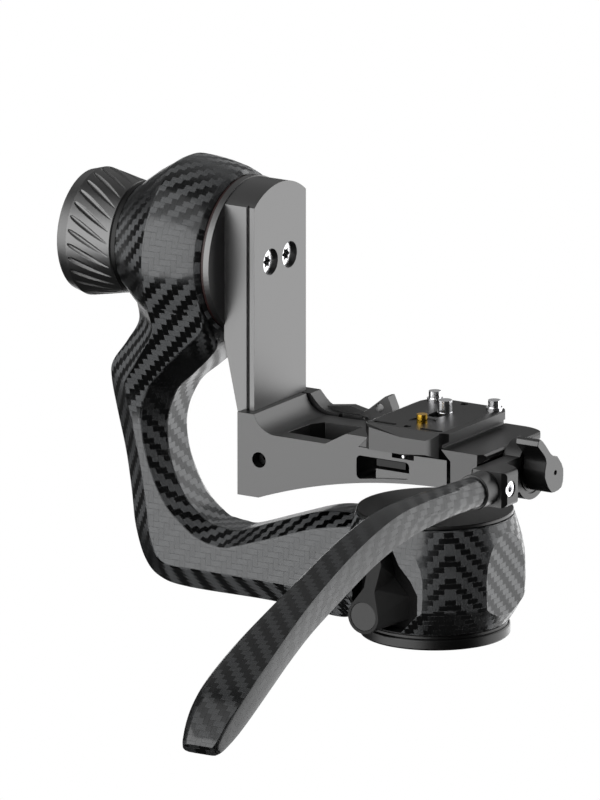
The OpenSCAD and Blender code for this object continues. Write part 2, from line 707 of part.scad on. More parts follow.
module tilt_shaft() {
  color("silver") on_tilt() difference() {
    union() {
      along_x(tilt_front_x) cylinder(r = shaft_flange_r, h = disc_back_x + flange_pocket - tilt_front_x);
      along_x(shaft_end_x) cylinder(r = shaft_r, h = tilt_front_x - shaft_end_x);
      along_x(thread_end_x) cylinder(r = knob_thread_r, h = shaft_end_x - thread_end_x);
    }
    for (side = [-1, 1]) translate([0, side * arm_screw_y, 0])
      along_x(tilt_front_x) cylinder(r = arm_screw_r, h = 2 * flange_pocket, $fn = fine);
  }
}
module arm_screws() {
  color("white") on_tilt() for (side = [-1, 1])
    translate([rail_x - arm_screw_set, side * arm_screw_y, 0]) rotate([0, -90, 0])
      countersunk(arm_screw_head_r, arm_screw_r, rail_x - arm_screw_set - tilt_front_x, arm_screw_r * 0.8);
}
drag_r = 16;
drag_washer_t = 1.5;
drag_fit = 0.1;
module drag_washer() {
  color("sandybrown") on_tilt() along_x(liner_x) tube(knob_thread_r + run_fit, drag_r, drag_washer_t);
}
module drag_plate() {
  back = liner_x + drag_washer_t + drag_fit;
  color("silver") on_tilt() along_x(back) tube(knob_thread_r, drag_r, shaft_end_x - back);
}

// Drag knob: a cone with a rim, slanted tapering grooves and a steel nut
knob_gap = 0.3;
knob_front_x = dome_x - hub_collar_t - knob_gap;
knob_back_x = knob_front_x - knob_len;
knob_nut_r = 9;
knob_face_dish = 1.2;
knob_edge = 2;
knob_wall = 4;
thread_end_x = knob_back_x + knob_wall + knob_gap;
groove_end_share = 0.7;
module knob_profile() {
  polygon([[0, 0], [knob_r - knob_edge - knob_wall, 0], [knob_r - knob_edge, knob_edge / 4],
    [knob_r, knob_edge], [knob_r, knob_band], [knob_neck_r, knob_len - knob_edge / 2],
    [knob_neck_r - knob_edge / 2, knob_len], [0, knob_len]]);
}
groove_steps = 4;
groove_shares = [[-1, 0.7], [-0.55, -0.75], [0, -1], [0.55, -0.75], [1, 0.7]];
function groove_ring(k) = let (
    run = knob_len - knob_band - 2 * knob_edge,
    r = knob_r + (knob_neck_r - knob_r) * k,
    a = -k * run * tan(knob_slant) / (knob_r + knob_neck_r) * 2 * 180 / PI,
    w = knob_groove_r * (1 - k * groove_end_share))
  [for (p = groove_shares) let (x = r + p.y * w, y = p.x * w)
    [x * cos(a) - y * sin(a), x * sin(a) + y * cos(a), knob_band + knob_edge / 2 + run * k]];
module knob_groove() {
  skin([for (i = [0 : groove_steps]) groove_ring(i / groove_steps)]);
}
module tilt_drag_knob() {
  color("#383838") on_tilt() along_x(knob_back_x) difference() {
    rotate_extrude() knob_profile();
    for (i = [0 : knob_grooves - 1]) rotate(i * 360 / knob_grooves) knob_groove();
    translate([0, 0, knob_wall]) cylinder(r = knob_nut_r, h = knob_len);
  }
}
module knob_nut() {
  color("silver") on_tilt() along_x(knob_back_x + knob_wall)
    tube(knob_thread_r + run_fit, knob_nut_r, knob_len - knob_wall);
}

// Cradle: an arched bar with the rail's channel at one end and the fixed jaw near the other
cradle_foot_z = bed_z - cradle_h;
cradle_back_x = rail_x - lip_reach;
arch_x = cradle_back_x + foot_len;
arch_len = cradle_end_x - arch_x;
arch_r = (arch_len * arch_len + arch_rise * arch_rise) / (2 * arch_rise);
arch_top_z = cradle_foot_z + arch_rise;
arch_steps = 24;
shelf_z = bed_z - shelf_drop;
shoulder_z = bed_z + shoulder_h;
shoulder_x = cradle_back_x + shoulder_len;
shelf_sweep = 11.5;
ramp_low = 17.5;
ramp_high = 6.5;
shelf_x = shoulder_x + shelf_sweep;
shelf_end_x = fixed_bottom_x - ramp_low;
jaw_ramp_x = fixed_bottom_x - ramp_high;
shelf_run = shelf_x - shoulder_x;
shelf_rise = shoulder_z - shelf_z;
shelf_r = (shelf_run * shelf_run + shelf_rise * shelf_rise) / (2 * shelf_rise);
shelf_steps = 8;
function arch_at(x) =
  arch_top_z - arch_r + sqrt(arch_r * arch_r - (cradle_end_x - x) * (cradle_end_x - x));
function shelf_at(x) = shelf_z + shelf_r - sqrt(shelf_r * shelf_r - (shelf_x - x) * (shelf_x - x));
module cradle_side() {
  polygon(concat(
    [[cradle_back_x, cradle_foot_z]],
    [for (i = [0 : arch_steps]) let (x = arch_x + arch_len * i / arch_steps) [x, arch_at(x)]],
    [[cradle_end_x, bed_z], [fixed_bottom_x, bed_z], [fixed_tip_x, jaw_top_z],
     [jaw_ramp_x, jaw_top_z], [shelf_end_x, shelf_z]],
    [for (i = [0 : shelf_steps]) let (x = shelf_x - shelf_run * i / shelf_steps) [x, shelf_at(x)]],
    [[cradle_back_x, shoulder_z]]));
}

// Channel round the rail; its tips reach into the grooves
module rail_channel() {
  difference() {
    box([cradle_back_x - cut, -bar_half - slide_fit, cradle_foot_z - cut],
        [rail_x + slide_fit, bar_half + slide_fit, shoulder_z + cut]);
    for (side = [-1, 1]) translate([0, 0, cradle_foot_z - 2 * cut])
      linear_extrude(cradle_h + shoulder_h + 4 * cut) polygon(groove_side(side, slide_fit));
  }
}

// The window holds a fixed block and the stop's button above it
window_x = [-24.5, 3];
window_top = 4;
window_wall = 2;
window_depth = 19;
window_r = 2;
stop_x = [-15, window_x[1] - window_r];
stop_travel = 1.2;
stop_set = 1;
stop_t = 3.5;
stop_fit = 0.3;
stop_depth = 15;
window_top_z = bed_z - window_top;
stop_low_z = window_top_z - stop_fit - stop_t;
stop_front_y = stop_set - cradle_half;
stop_pin_r = 1.5;
stop_pin_x = -1;
stop_pin_y = 2.6;
notch_x = [-6, 5.4];
notch_drop = 2.5;
notch_depth = 6;
function window_arc(x, z, start) = [for (a = [0 : 15 : 90])
  [x + window_r * cos(start + a), z + window_r * sin(start + a)]];
module window() {
  low = window_x[0] + window_r;
  high = window_x[1] - window_r;
  difference() {
    slab_y(-cradle_half - cut, window_depth - cradle_half) polygon(concat(
      window_arc(low, arch_at(low) + window_wall + window_r, 180),
      [for (i = [1 : shelf_steps - 1]) let (x = low + (high - low) * i / shelf_steps)
        [x, arch_at(x) + window_wall]],
      window_arc(high, arch_at(high) + window_wall + window_r, 270),
      window_arc(high, window_top_z - window_r, 0), window_arc(low, window_top_z - window_r, 90)));
    box([stop_x[0], stop_front_y, cradle_foot_z],
      [window_x[1] + cut, 0, stop_low_z - stop_travel - run_fit]);
  }
}
module stop_pin_hole() {
  translate([stop_pin_x, stop_pin_y - cradle_half, window_top_z - cut])
    cylinder(r = stop_pin_r + run_fit, h = window_top + cut, $fn = fine);
}

// Pockets in the cradle's top, seen from above
pocket_floor = 15;
deep_pocket = [[-42.3, -18.4], [-41.5, -1], [-37.5, 5.4], [-17.8, 7.2], [-17.7, -19.9]];
slot_x = [-38.5, -26];
slot_y = [16.6, 20.2];
module top_pockets() {
  translate([fixed_bottom_x, 0, shelf_z - pocket_floor]) linear_extrude(cradle_h) polygon(deep_pocket);
  translate([fixed_bottom_x, 0, cradle_foot_z - cut]) linear_extrude(2 * cradle_h)
    translate([(slot_x[0] + slot_x[1]) / 2, (slot_y[0] + slot_y[1]) / 2])
      pill(slot_x[1] - slot_x[0], slot_y[1] - slot_y[0]);
  box([rail_x - slide_fit, slit_y, cradle_foot_z - cut],
      [fixed_bottom_x + slot_x[0] + slit_w, slit_y + slit_w, shoulder_z + cut]);
}

// Back cheek behind the slit, as places along and above the shelf from the shoulder, and the
// ridge with the lanyard's lug, from the fixed jaw
ridge_y = 22.5;
lug_y = 21;
cheek_outline = [[-3, -5], [-3, 8.3], [1.5, 8.3], [2.4, 7.3], [4.5, 5], [6.6, 3.1], [8.9, 1.8],
  [12, 1.1], [16.3, 0.8], [30, 0.8], [35, -5]];
back_ridge = [[-50, -3], [-48.4, 2.1], [-35, 4], [-28, 2.6], [-25, -3]];
lug_outline = [[-30, -3], [-28.5, 1.5], [-24, 4.8], [-16, 11.2], [-14.5, 11.4], [-12.1, 6], [-10.5, -3]];
lug_hole_r = 2;
lug_hole = [-18.6, 5.7];
module back_wall() {
  translate([shoulder_x, 0, shelf_z]) slab_y(slit_y + slit_w, cradle_half) polygon(cheek_outline);
  translate([fixed_bottom_x, 0, shelf_z]) {
    slab_y(ridge_y, cradle_half) polygon(back_ridge);
    slab_y(lug_y, cradle_half) polygon(lug_outline);
  }
}
rail_screw_in = 5.7;
rail_screw_drop = 13.4;
rail_screw_x = rail_x + rail_screw_in;
rail_screw_z = bed_z - rail_screw_drop;
rail_screw_sink = 8;
rail_head_fit = 0.3;
module rail_screw_holes() {
  translate([rail_screw_x, 0, rail_screw_z]) {
    along_y(-cradle_half - cut)
      cylinder(r = rail_screw_head_r + rail_head_fit, h = rail_screw_sink + cut, $fn = fine);
    along_y(-cradle_half) cylinder(r = rail_screw_r, h = 2 * cradle_half - cut, $fn = fine);
  }
}

// Guide pins and the clamp bolt are fixed in the cradle's end
guide_r = 3;
guide_y = 17;
guide_drop = 8;
guide_x = [10, 36];
bolt_x = 6;
bolt_end_gap = 3;
module at_guides(x) {
  for (side = [-1, 1]) translate([0, side * guide_y, bed_z - guide_drop]) along_x(x) children();
}
module at_bolt(x) { translate([0, 0, bolt_z]) along_x(x) children(); }
module cradle_arm() {
  color("#3c3c3c") difference() {
    union() {
      slab_y(-cradle_half, cradle_half) cradle_side();
      back_wall();
    }
    rail_channel();
    window();
    stop_pin_hole();
    box([notch_x[0], -cradle_half - cut, bed_z - notch_drop],
        [notch_x[1], notch_depth - cradle_half, bed_z + cut]);
    top_pockets();
    rail_screw_holes();
    translate([fixed_bottom_x + lug_hole.x, 0, shelf_z + lug_hole.y]) along_y(lug_y - cut)
      cylinder(r = lug_hole_r, h = cradle_half - lug_y + 2 * cut, $fn = fine);
    at_guides(guide_x[0]) cylinder(r = guide_r, h = cradle_half, $fn = fine);
    at_bolt(bolt_x) cylinder(r = bolt_r, h = cradle_half);
  }
}
module rail_clamp_screw() {
  color("silver") translate([rail_screw_x, 0, rail_screw_z]) difference() {
    union() {
      along_y(rail_screw_sink - cradle_half - guide_r)
        cylinder(r = rail_screw_head_r, h = guide_r, $fn = fine);
      along_y(rail_screw_sink - cradle_half)
        cylinder(r = rail_screw_r, h = 2 * cradle_half - rail_screw_sink - 2 * cut, $fn = fine);
    }
    along_y(-cradle_half) cylinder(r = rail_screw_r / 2, h = rail_screw_sink - cut / 2, $fn = 6);
  }
}
module jaw_guide_pins() {
  color("silver") at_guides(guide_x[0]) cylinder(r = guide_r, h = guide_x[1] - guide_x[0], $fn = fine);
}
module clamp_bolt() {
  color("silver") at_bolt(bolt_x) cylinder(r = bolt_r, h = lever_end_x - bolt_end_gap - bolt_x);
}
module stop_button() {
  color("#555555") box([stop_x[0] + stop_fit, stop_front_y, stop_low_z],
    [stop_x[1] - stop_fit, stop_front_y + stop_depth, window_top_z - stop_fit]);
}
stop_pin_top = 1.3;
module stop_pin() {
  color("white") translate([stop_pin_x, stop_pin_y - cradle_half, window_top_z - stop_fit])
    cylinder(r = stop_pin_r, h = window_top + stop_fit - stop_pin_top, $fn = fine);
}

// Quick release plate: outline from above, in shares of the pad's half width and the back's depth
plan_shares = [[-1, -1], [-0.86, -1.12], [-0.8, -1.16], [0.6, -1.16], [0.74, -1.12], [0.97, -1],
  [1, -0.94], [1, 0.92], [0.93, 1], [-0.8, 1], [-1, 0.57]];
front_drop = [0.3, 3.6];
front_lift = [0.3, 3.1];
front_run = 3.3;
rim_t = 2.5;
rim_drop = 0.9;
pad_edge = 1;
module plate_plan() { polygon([for (p = plan_shares) [p.x * pad_half, p.y * plate_back]]); }
module plate_profile() {
  neck_z = dovetail_h + bed_gap;
  polygon([[slide_fit - flange_half, bed_gap], [flange_half - slide_fit, bed_gap],
    [neck_half - slide_fit, neck_z], [neck_half - slide_fit, pad_z - pad_edge], [pad_half, pad_z],
    [pad_half, plate_h - rim_drop], [pad_half - rim_t, plate_h], [rim_t / 2 - pad_half, plate_h],
    [-pad_half, plate_h - rim_drop / 2], [-pad_half, pad_z],
    [slide_fit - neck_half, pad_z - pad_edge], [slide_fit - neck_half, neck_z]]);
}
// Slanting cuts over and under the plate's front: each is wider open towards the camera's side
function front_ring(x, drop) = [
  [x, -plate_front, plate_h], [x, -plate_front - 2 * front_run, plate_h - 2 * drop],
  [x, -plate_front - 2 * front_run, plate_h + front_run], [x, -plate_front, plate_h + front_run]];
function lift_ring(x, lift) = [
  [x, -plate_front, -cut], [x, -plate_front - 2 * front_run, -cut],
  [x, -plate_front - 2 * front_run, bed_gap + 2 * lift], [x, -plate_front, bed_gap]];
module front_cuts() {
  skin([front_ring(-pad_half - cut, front_drop[0]), front_ring(pad_half + cut, front_drop[1])]);
  skin([lift_ring(-flange_half - cut, front_lift[0]), lift_ring(flange_half + cut, front_lift[1])]);
}
scoop_r = 9;
scoop_share = 0.35;
stud_y = 7;
stud_slot_y = [-4, 11];
stud_collar_t = 6;
stud_head_r = 6.5;
stud_head_t = 4.9;
stud_collar_grow = 0.375;
stud_slot_grow = 0.425;
coin_slot = [1.2, 3];
pin_r = 2.45;
pin_y = -12.5;
pin_h = 3.2;
pin_recess_r = 6.25;
pin_recess_t = 0.6;
pin_flange_r = 3.4;
pin_flange_t = 1;
pin_travel = 3;
pin_plug_t = 1.5;
end_pins = [[-14.9, 22.5], [16.2, 22.5]];
end_pin_r = 2.8;
end_pin_head_r = 3.65;
end_pin_head_t = 1;
end_head_sink = 0.5;
end_pin_h = 4.2;
end_pin_sink = 5;
plate_slots = [[-12.3, -23.8], [12.1, -24.3]];
plate_slot_len = 11.6;
plate_slot_w = 2.7;
plate_slot_t = 1.5;
plate_holes = [[-0.6, -23.9], [0.2, 22.9]];
plate_hole_r = 1.75;
pin_cavity_top = plate_h - pin_recess_t - cut;
module pill(len, w) {
  square([len - w, w], center = true);
  for (side = [-1, 1]) translate([side * (len - w) / 2, 0]) circle(w / 2, $fn = fine);
}
module on_plate(z) { translate([plate_x, 0, bed_z + z]) children(); }
module plate_pockets() {
  slot_w = 2 * (stud_r + stud_slot_grow);
  collar_low = plate_h - stud_collar_t;
  translate([0, (stud_slot_y[0] + stud_slot_y[1]) / 2, collar_low - cut / 4]) linear_extrude(plate_h)
    rotate(90) pill(stud_slot_y[1] - stud_slot_y[0], slot_w);
  translate([0, stud_y, -cut]) cylinder(r = stud_head_r + stop_fit, h = collar_low + cut);
  translate([0, pin_y, 0]) {
    cylinder(r = pin_r + run_fit, h = plate_h + cut, $fn = fine);
    translate([0, 0, plate_h - pin_recess_t]) cylinder(r = pin_recess_r, h = pin_recess_t + cut);
    translate([0, 0, -cut]) cylinder(r = pin_flange_r + slide_fit, h = pin_cavity_top + cut);
  }
  for (p = end_pins) translate([p.x, p.y, plate_h]) {
    translate([0, 0, -end_pin_sink]) cylinder(r = end_pin_r, h = end_pin_sink + cut, $fn = fine);
    translate([0, 0, -end_head_sink])
      cylinder(r = end_pin_head_r + screw_hole_fit, h = end_head_sink + cut, $fn = fine);
  }
  for (p = plate_slots) translate([p.x, p.y, plate_h - plate_slot_t])
    linear_extrude(plate_slot_t + cut) pill(plate_slot_len, plate_slot_w);
  for (p = plate_holes) translate([p.x, p.y, plate_h - end_pin_sink])
    cylinder(r = plate_hole_r, h = end_pin_sink + cut, $fn = fine);
}
module quick_release_plate() {
  color("#2e2e2e") on_plate(0) difference() {
    intersection() {
      slab_y(-plate_front - front_run, plate_back) plate_profile();
      union() {
        linear_extrude(plate_h + cut) plate_plan();
        translate([-flange_half, -plate_front, 0])
          cube([2 * flange_half, plate_front + plate_back, dovetail_h + 2 * bed_gap]);
      }
    }
    front_cuts();
    translate([pad_half + scoop_r * (1 - scoop_share), -plate_front - scoop_r * scoop_share, -cut])
      cylinder(r = scoop_r, h = plate_h + 2 * cut);
    plate_pockets();
  }
}
module plate_pins() {
  color("white") on_plate(plate_h) for (p = end_pins) translate(p) {
    translate([0, 0, -end_pin_sink]) cylinder(r = end_pin_r, h = end_pin_sink + end_pin_h, $fn = fine);
    translate([0, 0, -end_head_sink])
      cylinder(r = end_pin_head_r, h = end_pin_head_t + end_head_sink, $fn = fine);
  }
}
module pin_plug() {
  color("gray") on_plate(bed_gap) translate([0, pin_y, 0])
    cylinder(r = pin_flange_r + slide_fit, h = pin_plug_t, $fn = fine);
}
module camera_screw() {
  color("white") on_plate(0) translate([0, stud_y, 0]) difference() {
    union() {
      translate([0, 0, plate_h - stud_collar_t - stud_head_t])
        cylinder(r = stud_head_r, h = stud_head_t - run_fit);
      translate([0, 0, plate_h - stud_collar_t - run_fit])
        cylinder(r = stud_r + stud_collar_grow, h = stud_collar_t, $fn = fine);
      translate([0, 0, plate_h - cut]) cylinder(r = stud_r, h = cut + stud_h, $fn = fine);
    }
    translate([-stud_head_r - cut, -coin_slot[0] / 2, 0])
      cube([2 * stud_head_r + 2 * cut, coin_slot[0], coin_slot[1]]);
  }
}
module anti_twist_pin() {
  color("gold") on_plate(0) translate([0, pin_y, pin_cavity_top - pin_flange_t - run_fit]) {
    cylinder(r = pin_flange_r, h = pin_flange_t, $fn = fine);
    cylinder(r = pin_r, h = plate_h + pin_h - pin_cavity_top + pin_flange_t + run_fit, $fn = fine);
  }
}
spring_r = 2.6;
spring_wire_r = 0.35;
spring_turns = 5;
spring_sides = 6;
spring_steps = 80;
spring_low = bed_gap + pin_plug_t + spring_wire_r;
spring_high = pin_cavity_top - pin_flange_t - run_fit - spring_wire_r;
function spring_ring(k) = let (a = 360 * spring_turns * k, z = spring_low + (spring_high - spring_low) * k)
  [for (j = [0 : spring_sides - 1]) let (b = 360 * j / spring_sides, r = spring_r + spring_wire_r * cos(b))
    [r * cos(a), r * sin(a), z + spring_wire_r * sin(b)]];
module anti_twist_spring() {
  color("silver") on_plate(0) translate([0, pin_y, 0])
    skin([for (i = [0 : spring_steps]) spring_ring(i / spring_steps)]);
}

// Moving jaw: lip over the plate, body on the pins and a boss towards the handle
jaw_bottom = 18;
jaw_body_in = 3;
jaw_bevel = 3;
jaw_edge = 1;
jaw_front_y = 28;
jaw_body_x = jaw_end_x - jaw_body_in;
jaw_boss_r = 7.2;
jaw_round_r = 12;
module jaw_side() {
  polygon([[jaw_x, jaw_top_z], [jaw_bottom_x, bed_z], [jaw_bottom_x, bed_z - jaw_bottom],
    [jaw_body_x - jaw_bevel / 2, bed_z - jaw_bottom], [jaw_body_x, bed_z - jaw_bottom + jaw_bevel / 2],
    [jaw_body_x, jaw_top_z - jaw_lip_t - jaw_edge], [jaw_end_x - jaw_edge, jaw_top_z - jaw_lip_t],
    [jaw_end_x, jaw_top_z - jaw_lip_t + jaw_edge], [jaw_end_x, jaw_top_z - jaw_edge],
    [jaw_end_x - jaw_edge, jaw_top_z]]);
}
module jaw_plan() {
  corner = jaw_end_x - jaw_round_r;
  polygon(concat([[jaw_x - cut, -jaw_front_y], [jaw_end_x - jaw_bevel, -jaw_front_y],
    [jaw_end_x + cut, -jaw_front_y + jaw_bevel + cut]],
    [for (a = [0 : 10 : 90]) [corner + (jaw_round_r + cut / 4) * cos(a),
      cradle_half - jaw_round_r * 0.7 + jaw_round_r * 0.7 * sin(a)]],
    [[jaw_x - cut, cradle_half]]));
}
module moving_jaw() {
  color("#3c3c3c") difference() {
    union() {
      intersection() {
        slab_y(-jaw_front_y, cradle_half) jaw_side();
        linear_extrude(jaw_top_z + cut) jaw_plan();
      }
      at_bolt(jaw_body_x - cut) cylinder(r = jaw_boss_r, h = jaw_body_in + cut);
    }
    at_guides(cradle_end_x) cylinder(r = guide_r + run_fit, h = guide_x[1] - cradle_end_x + cut, $fn = fine);
    at_bolt(cradle_end_x) cylinder(r = bolt_r + run_fit, h = jaw_len + cut);
  }
}

// Handle mount: hub on the bolt, and the block that takes the handle's spigot
spigot_r = 5;
spigot_depth = 12;
hub_ring_r = 11;
hub_ring_t = 0.6;
hub_ring_w = 1;
block_in_y = 22.6;
block_run = 4.5;
block_edge = 2;
clamp_screw_y = 34.9;
clamp_head_r = 3.6;
clamp_head_t = 2.5;
module block_plan() {
  polygon([[mount_x, 0], [hub_out_x, 0], [hub_out_x, -block_in_y],
    [hub_out_x + block_edge, -block_in_y - block_run / 3],
    [block_out_x - 2 * block_edge, -block_in_y - block_run * 0.8],
    [block_out_x, -block_in_y - block_run - block_edge], [block_out_x, block_edge - block_front],
    [block_out_x - block_edge, -block_front], [mount_x + block_edge, -block_front],
    [mount_x, block_edge - block_front]]);
}
module block_section() {
  translate([mount_x + block_edge, -block_h / 2]) square([block_w - 2 * block_edge, block_h]);
  translate([mount_x, block_edge - block_h / 2]) square([block_w, block_h - 2 * block_edge]);
  for (x = [mount_x + block_edge, block_out_x - block_edge]) for (side = [-1, 1])
    translate([x, side * (block_h / 2 - block_edge)]) circle(block_edge, $fn = fine);
}
module handle_mount() {
  color("#3a3a3a") translate([0, 0, bolt_z]) difference() {
    union() {
      along_x(mount_x) cylinder(r = handle_hub_r, h = handle_hub_t);
      intersection() {
        translate([0, 0, -block_h]) linear_extrude(2 * block_h) block_plan();
        slab_y(-block_front - cut, 0) block_section();
      }
    }
    along_x(mount_x - cut) cylinder(r = bolt_r + run_fit, h = handle_hub_t + 2 * cut);
    along_x(hub_out_x - hub_ring_t) tube(hub_ring_r - hub_ring_w, hub_ring_r, cut);
    translate([block_x, 0, 0]) along_y(-block_front - cut)
      cylinder(r = spigot_r, h = spigot_depth + cut);
    translate([0, -clamp_screw_y, 0]) {
      along_x(block_out_x - clamp_head_t)
        cylinder(r = clamp_head_r + screw_hole_fit, h = clamp_head_t + cut, $fn = fine);
      along_x(block_x) cylinder(r = clamp_head_r / 2, h = block_w, $fn = fine);
    }
  }
}
module handle_clamp_screw() {
  in_x = block_x + spigot_r;
  color("silver") translate([0, -clamp_screw_y, bolt_z]) difference() {
    union() {
      along_x(in_x) cylinder(r = clamp_head_r / 2, h = block_out_x - clamp_head_t - in_x, $fn = fine);
      along_x(block_out_x - clamp_head_t) cylinder(r = clamp_head_r, h = clamp_head_t - cap_gap, $fn = fine);
    }
    along_x(block_out_x - clamp_head_t + cap_gap) cylinder(r = clamp_head_r / 2, h = cut, $fn = 6);
  }
}
module handle_collar() {
  color("#444444") translate([block_x, 0, bolt_z]) along_y(-block_front - collar_len)
    tube(spigot_r, collar_r, collar_len);
}
spigot_len = 50;
module handle_spigot() {
  color("silver") translate([block_x, 0, bolt_z]) along_y(spigot_depth - block_front - spigot_len)
    cylinder(r = spigot_r, h = spigot_len);
}

// Handle blade, drawn for a blade that reaches 226.7 past its collar, drops 65 and is 28 wide
// and 13 thick. A row holds the place past the collar, the height, the width, the thickness,
// how square the section is and how far it stands to the side.
blade_grid_shares = [226.7, 65, 28, 13];
blade_shares = [
  [0.2, 0, 14, 14, 2, 0], [14.7, 0.6, 14.3, 14, 2, 0], [30.7, 1.3, 15, 14, 2, 0],
  [54.7, 1, 15.2, 14.5, 2.1, 0.4], [73.7, -0.6, 16.3, 15, 2.4, 0.9],
  [93.7, -5.1, 17.1, 15.3, 2.8, 1.4], [113.7, -11.3, 18, 15.5, 3.4, 1.7],
  [134.7, -18.5, 19.5, 15, 3.8, 1.7], [153.7, -24.9, 22, 14, 4, 1.5],
  [172.7, -32.6, 25.2, 13.2, 4, 1.4], [188.7, -40.1, 27.4, 13, 4, 1.3],
  [201.7, -47.1, 28, 13, 4, 1.3], [211.1, -53.3, 26.5, 13, 3.8, 1.3],
  [218.2, -58.6, 23.8, 12, 3.4, 1.1], [226.7, -65.4, 19, 8.5, 3, 0.6],
  [228.3, -66.3, 16.5, 5.5, 2.6, 0.4]];
collar_end = block_front + collar_len;
blade_run = handle_len - collar_end;
blade_points = 24;
blade_steps = 2;
function sign_pow(v, e) = sign(v) * pow(abs(v), 2 / e);
function blade_ring(row, way) = let (
    w = row[2] / 2 * blade_w / blade_grid_shares[2], t = row[3] / 2 * blade_t / blade_grid_shares[3],
    up = [0, -way.y, way.x] / norm(way), gone = row[0] / blade_grid_shares[0],
    place = [block_x - blade_drift * gone * gone - row[5] * blade_w / blade_grid_shares[2],
             -collar_end - gone * blade_run,
             bolt_z + row[1] * handle_drop / blade_grid_shares[1]])
  [for (j = [0 : blade_points - 1]) let (a = 360 * j / blade_points)
    place + [w * sign_pow(cos(a), row[4]), 0, 0] + up * t * sign_pow(sin(a), row[4])];
function blade_way(rows, i) = let (
    a = rows[max(i - 1, 0)], b = rows[min(i + 1, len(rows) - 1)]) [b[0] - a[0], a[1] - b[1]];
module blade_skin() {
  rows = dense(blade_shares, blade_steps);
  skin([for (i = [0 : len(rows) - 1]) blade_ring(rows[i], blade_way(rows, i))]);
}
module handle_blade() {
  color("#222222") difference() {
    blade_skin();
    translate([block_x, 0, bolt_z]) along_y(spigot_depth - block_front - spigot_len)
      cylinder(r = spigot_r, h = spigot_len);
  }
}

// Clamp lever: outline round the bolt's axis, with flutes worked into its long sides
lever_shares = [[7, -2.7], [6.6, -5.6], [5.3, -7.9], [2.6, -8.7], [-0.6, -8.9], [-3.1, -8.6], [-6.4, -5.4],
  [-9, -0.6], [-8.9, 2.6], [-7.8, 6], [-8.4, 8.4], [-9.9, 10.2], [-14.9, 15], [-14.6, 17.4], [-12.6, 18],
  [-8.2, 14.4], [-4, 9.8], [-1.4, 7.9], [1.9, 7.1], [5.4, 3.2], [6.9, 0.4]];
lever_grid_share = 22;
lever_tip_hole_r = 1;
module clamp_lever() {
  scale_to = lever_len / lever_grid_share;
  color("#404040") at_bolt(0) difference() {
    translate([0, 0, lever_x]) linear_extrude(lever_t) scale(scale_to)
      polygon([for (p = lever_shares) [-p.y, p.x]]);
    translate([0, 0, lever_x - cut])
      cylinder(r = bolt_r + run_fit, h = lever_t + cut - bolt_end_gap + screw_hole_fit);
    translate([0, 0, lever_x]) cylinder(r = lever_tip_hole_r, h = lever_t + cut, $fn = fine);
  }
}

base_flange();
flange_screws();
pan_spindle();
spindle_nut();
pan_bearing_inner_races();
pan_bearing_spacer();
pan_seal_ring();
carbon_frame();
pan_liner();
pan_bearing_outer_races();
pan_bearing_balls();
pan_clamp_collar();
pan_cap();
tilt_liner();
tilt_bearing_outer_races();
tilt_bearing_balls();
tilt_seal_ring();
hub_collar();
pan_lock_lever();
pan_lock_screw();
pan_lock_cover();
swing_arm();
tilt_shaft();
arm_screws();
tilt_bearing_inner_races();
tilt_bearing_spacer();
drag_washer();
tilt_drag_knob();
knob_nut();
drag_plate();
cradle_arm();
rail_clamp_screw();
jaw_guide_pins();
clamp_bolt();
stop_button();
stop_pin();
quick_release_plate();
plate_pins();
pin_plug();
camera_screw();
anti_twist_pin();
anti_twist_spring();
moving_jaw();
handle_mount();
handle_collar();
handle_spigot();
handle_blade();
handle_clamp_screw();
clamp_lever();
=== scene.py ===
import json
import math

import bmesh
import bpy
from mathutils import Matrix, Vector

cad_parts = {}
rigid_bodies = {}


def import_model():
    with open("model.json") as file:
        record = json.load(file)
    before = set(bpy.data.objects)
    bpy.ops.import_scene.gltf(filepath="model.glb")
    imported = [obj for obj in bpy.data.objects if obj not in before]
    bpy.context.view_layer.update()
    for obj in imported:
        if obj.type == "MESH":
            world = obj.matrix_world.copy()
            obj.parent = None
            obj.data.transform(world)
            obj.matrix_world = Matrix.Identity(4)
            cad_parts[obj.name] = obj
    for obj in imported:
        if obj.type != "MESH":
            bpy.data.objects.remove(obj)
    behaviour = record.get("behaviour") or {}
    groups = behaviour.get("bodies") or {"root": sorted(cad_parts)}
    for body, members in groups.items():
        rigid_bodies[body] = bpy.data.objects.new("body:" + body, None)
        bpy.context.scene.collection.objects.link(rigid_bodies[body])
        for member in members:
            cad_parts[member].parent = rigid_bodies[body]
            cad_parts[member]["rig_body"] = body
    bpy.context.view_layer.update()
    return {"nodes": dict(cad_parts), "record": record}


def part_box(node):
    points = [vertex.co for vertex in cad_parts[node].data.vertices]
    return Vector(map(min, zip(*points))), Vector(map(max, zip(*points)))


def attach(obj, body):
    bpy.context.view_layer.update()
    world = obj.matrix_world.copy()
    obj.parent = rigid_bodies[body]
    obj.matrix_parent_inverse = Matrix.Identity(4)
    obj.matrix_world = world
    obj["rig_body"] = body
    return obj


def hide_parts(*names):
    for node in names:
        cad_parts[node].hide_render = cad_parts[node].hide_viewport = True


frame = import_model()
mm = 0.001
nodes = frame["nodes"]
slotOf = {part["node"]: part["material_slot"] for part in frame["record"]["subparts"]}
tiltZ = 161.0  # height of the tilt axis in mm
print("stage: frame loaded,", len(nodes), "nodes")


# sRGB hex to linear colour
def hexColour(text):
    channels = [int(text[i : i + 2], 16) / 255 for i in (1, 3, 5)]
    linear = [c / 12.92 if c <= 0.04045 else ((c + 0.055) / 1.055) ** 2.4 for c in channels]
    return (*linear, 1)


# links an input to an output or to a node's first output, and sets it to any other value
def fillInputs(tree, node, inputs):
    for key, value in inputs.items():
        if isinstance(value, bpy.types.Node):
            value = value.outputs[0]
        if isinstance(value, bpy.types.NodeSocket):
            tree.links.new(value, node.inputs[key])
        else:
            node.inputs[key].default_value = value


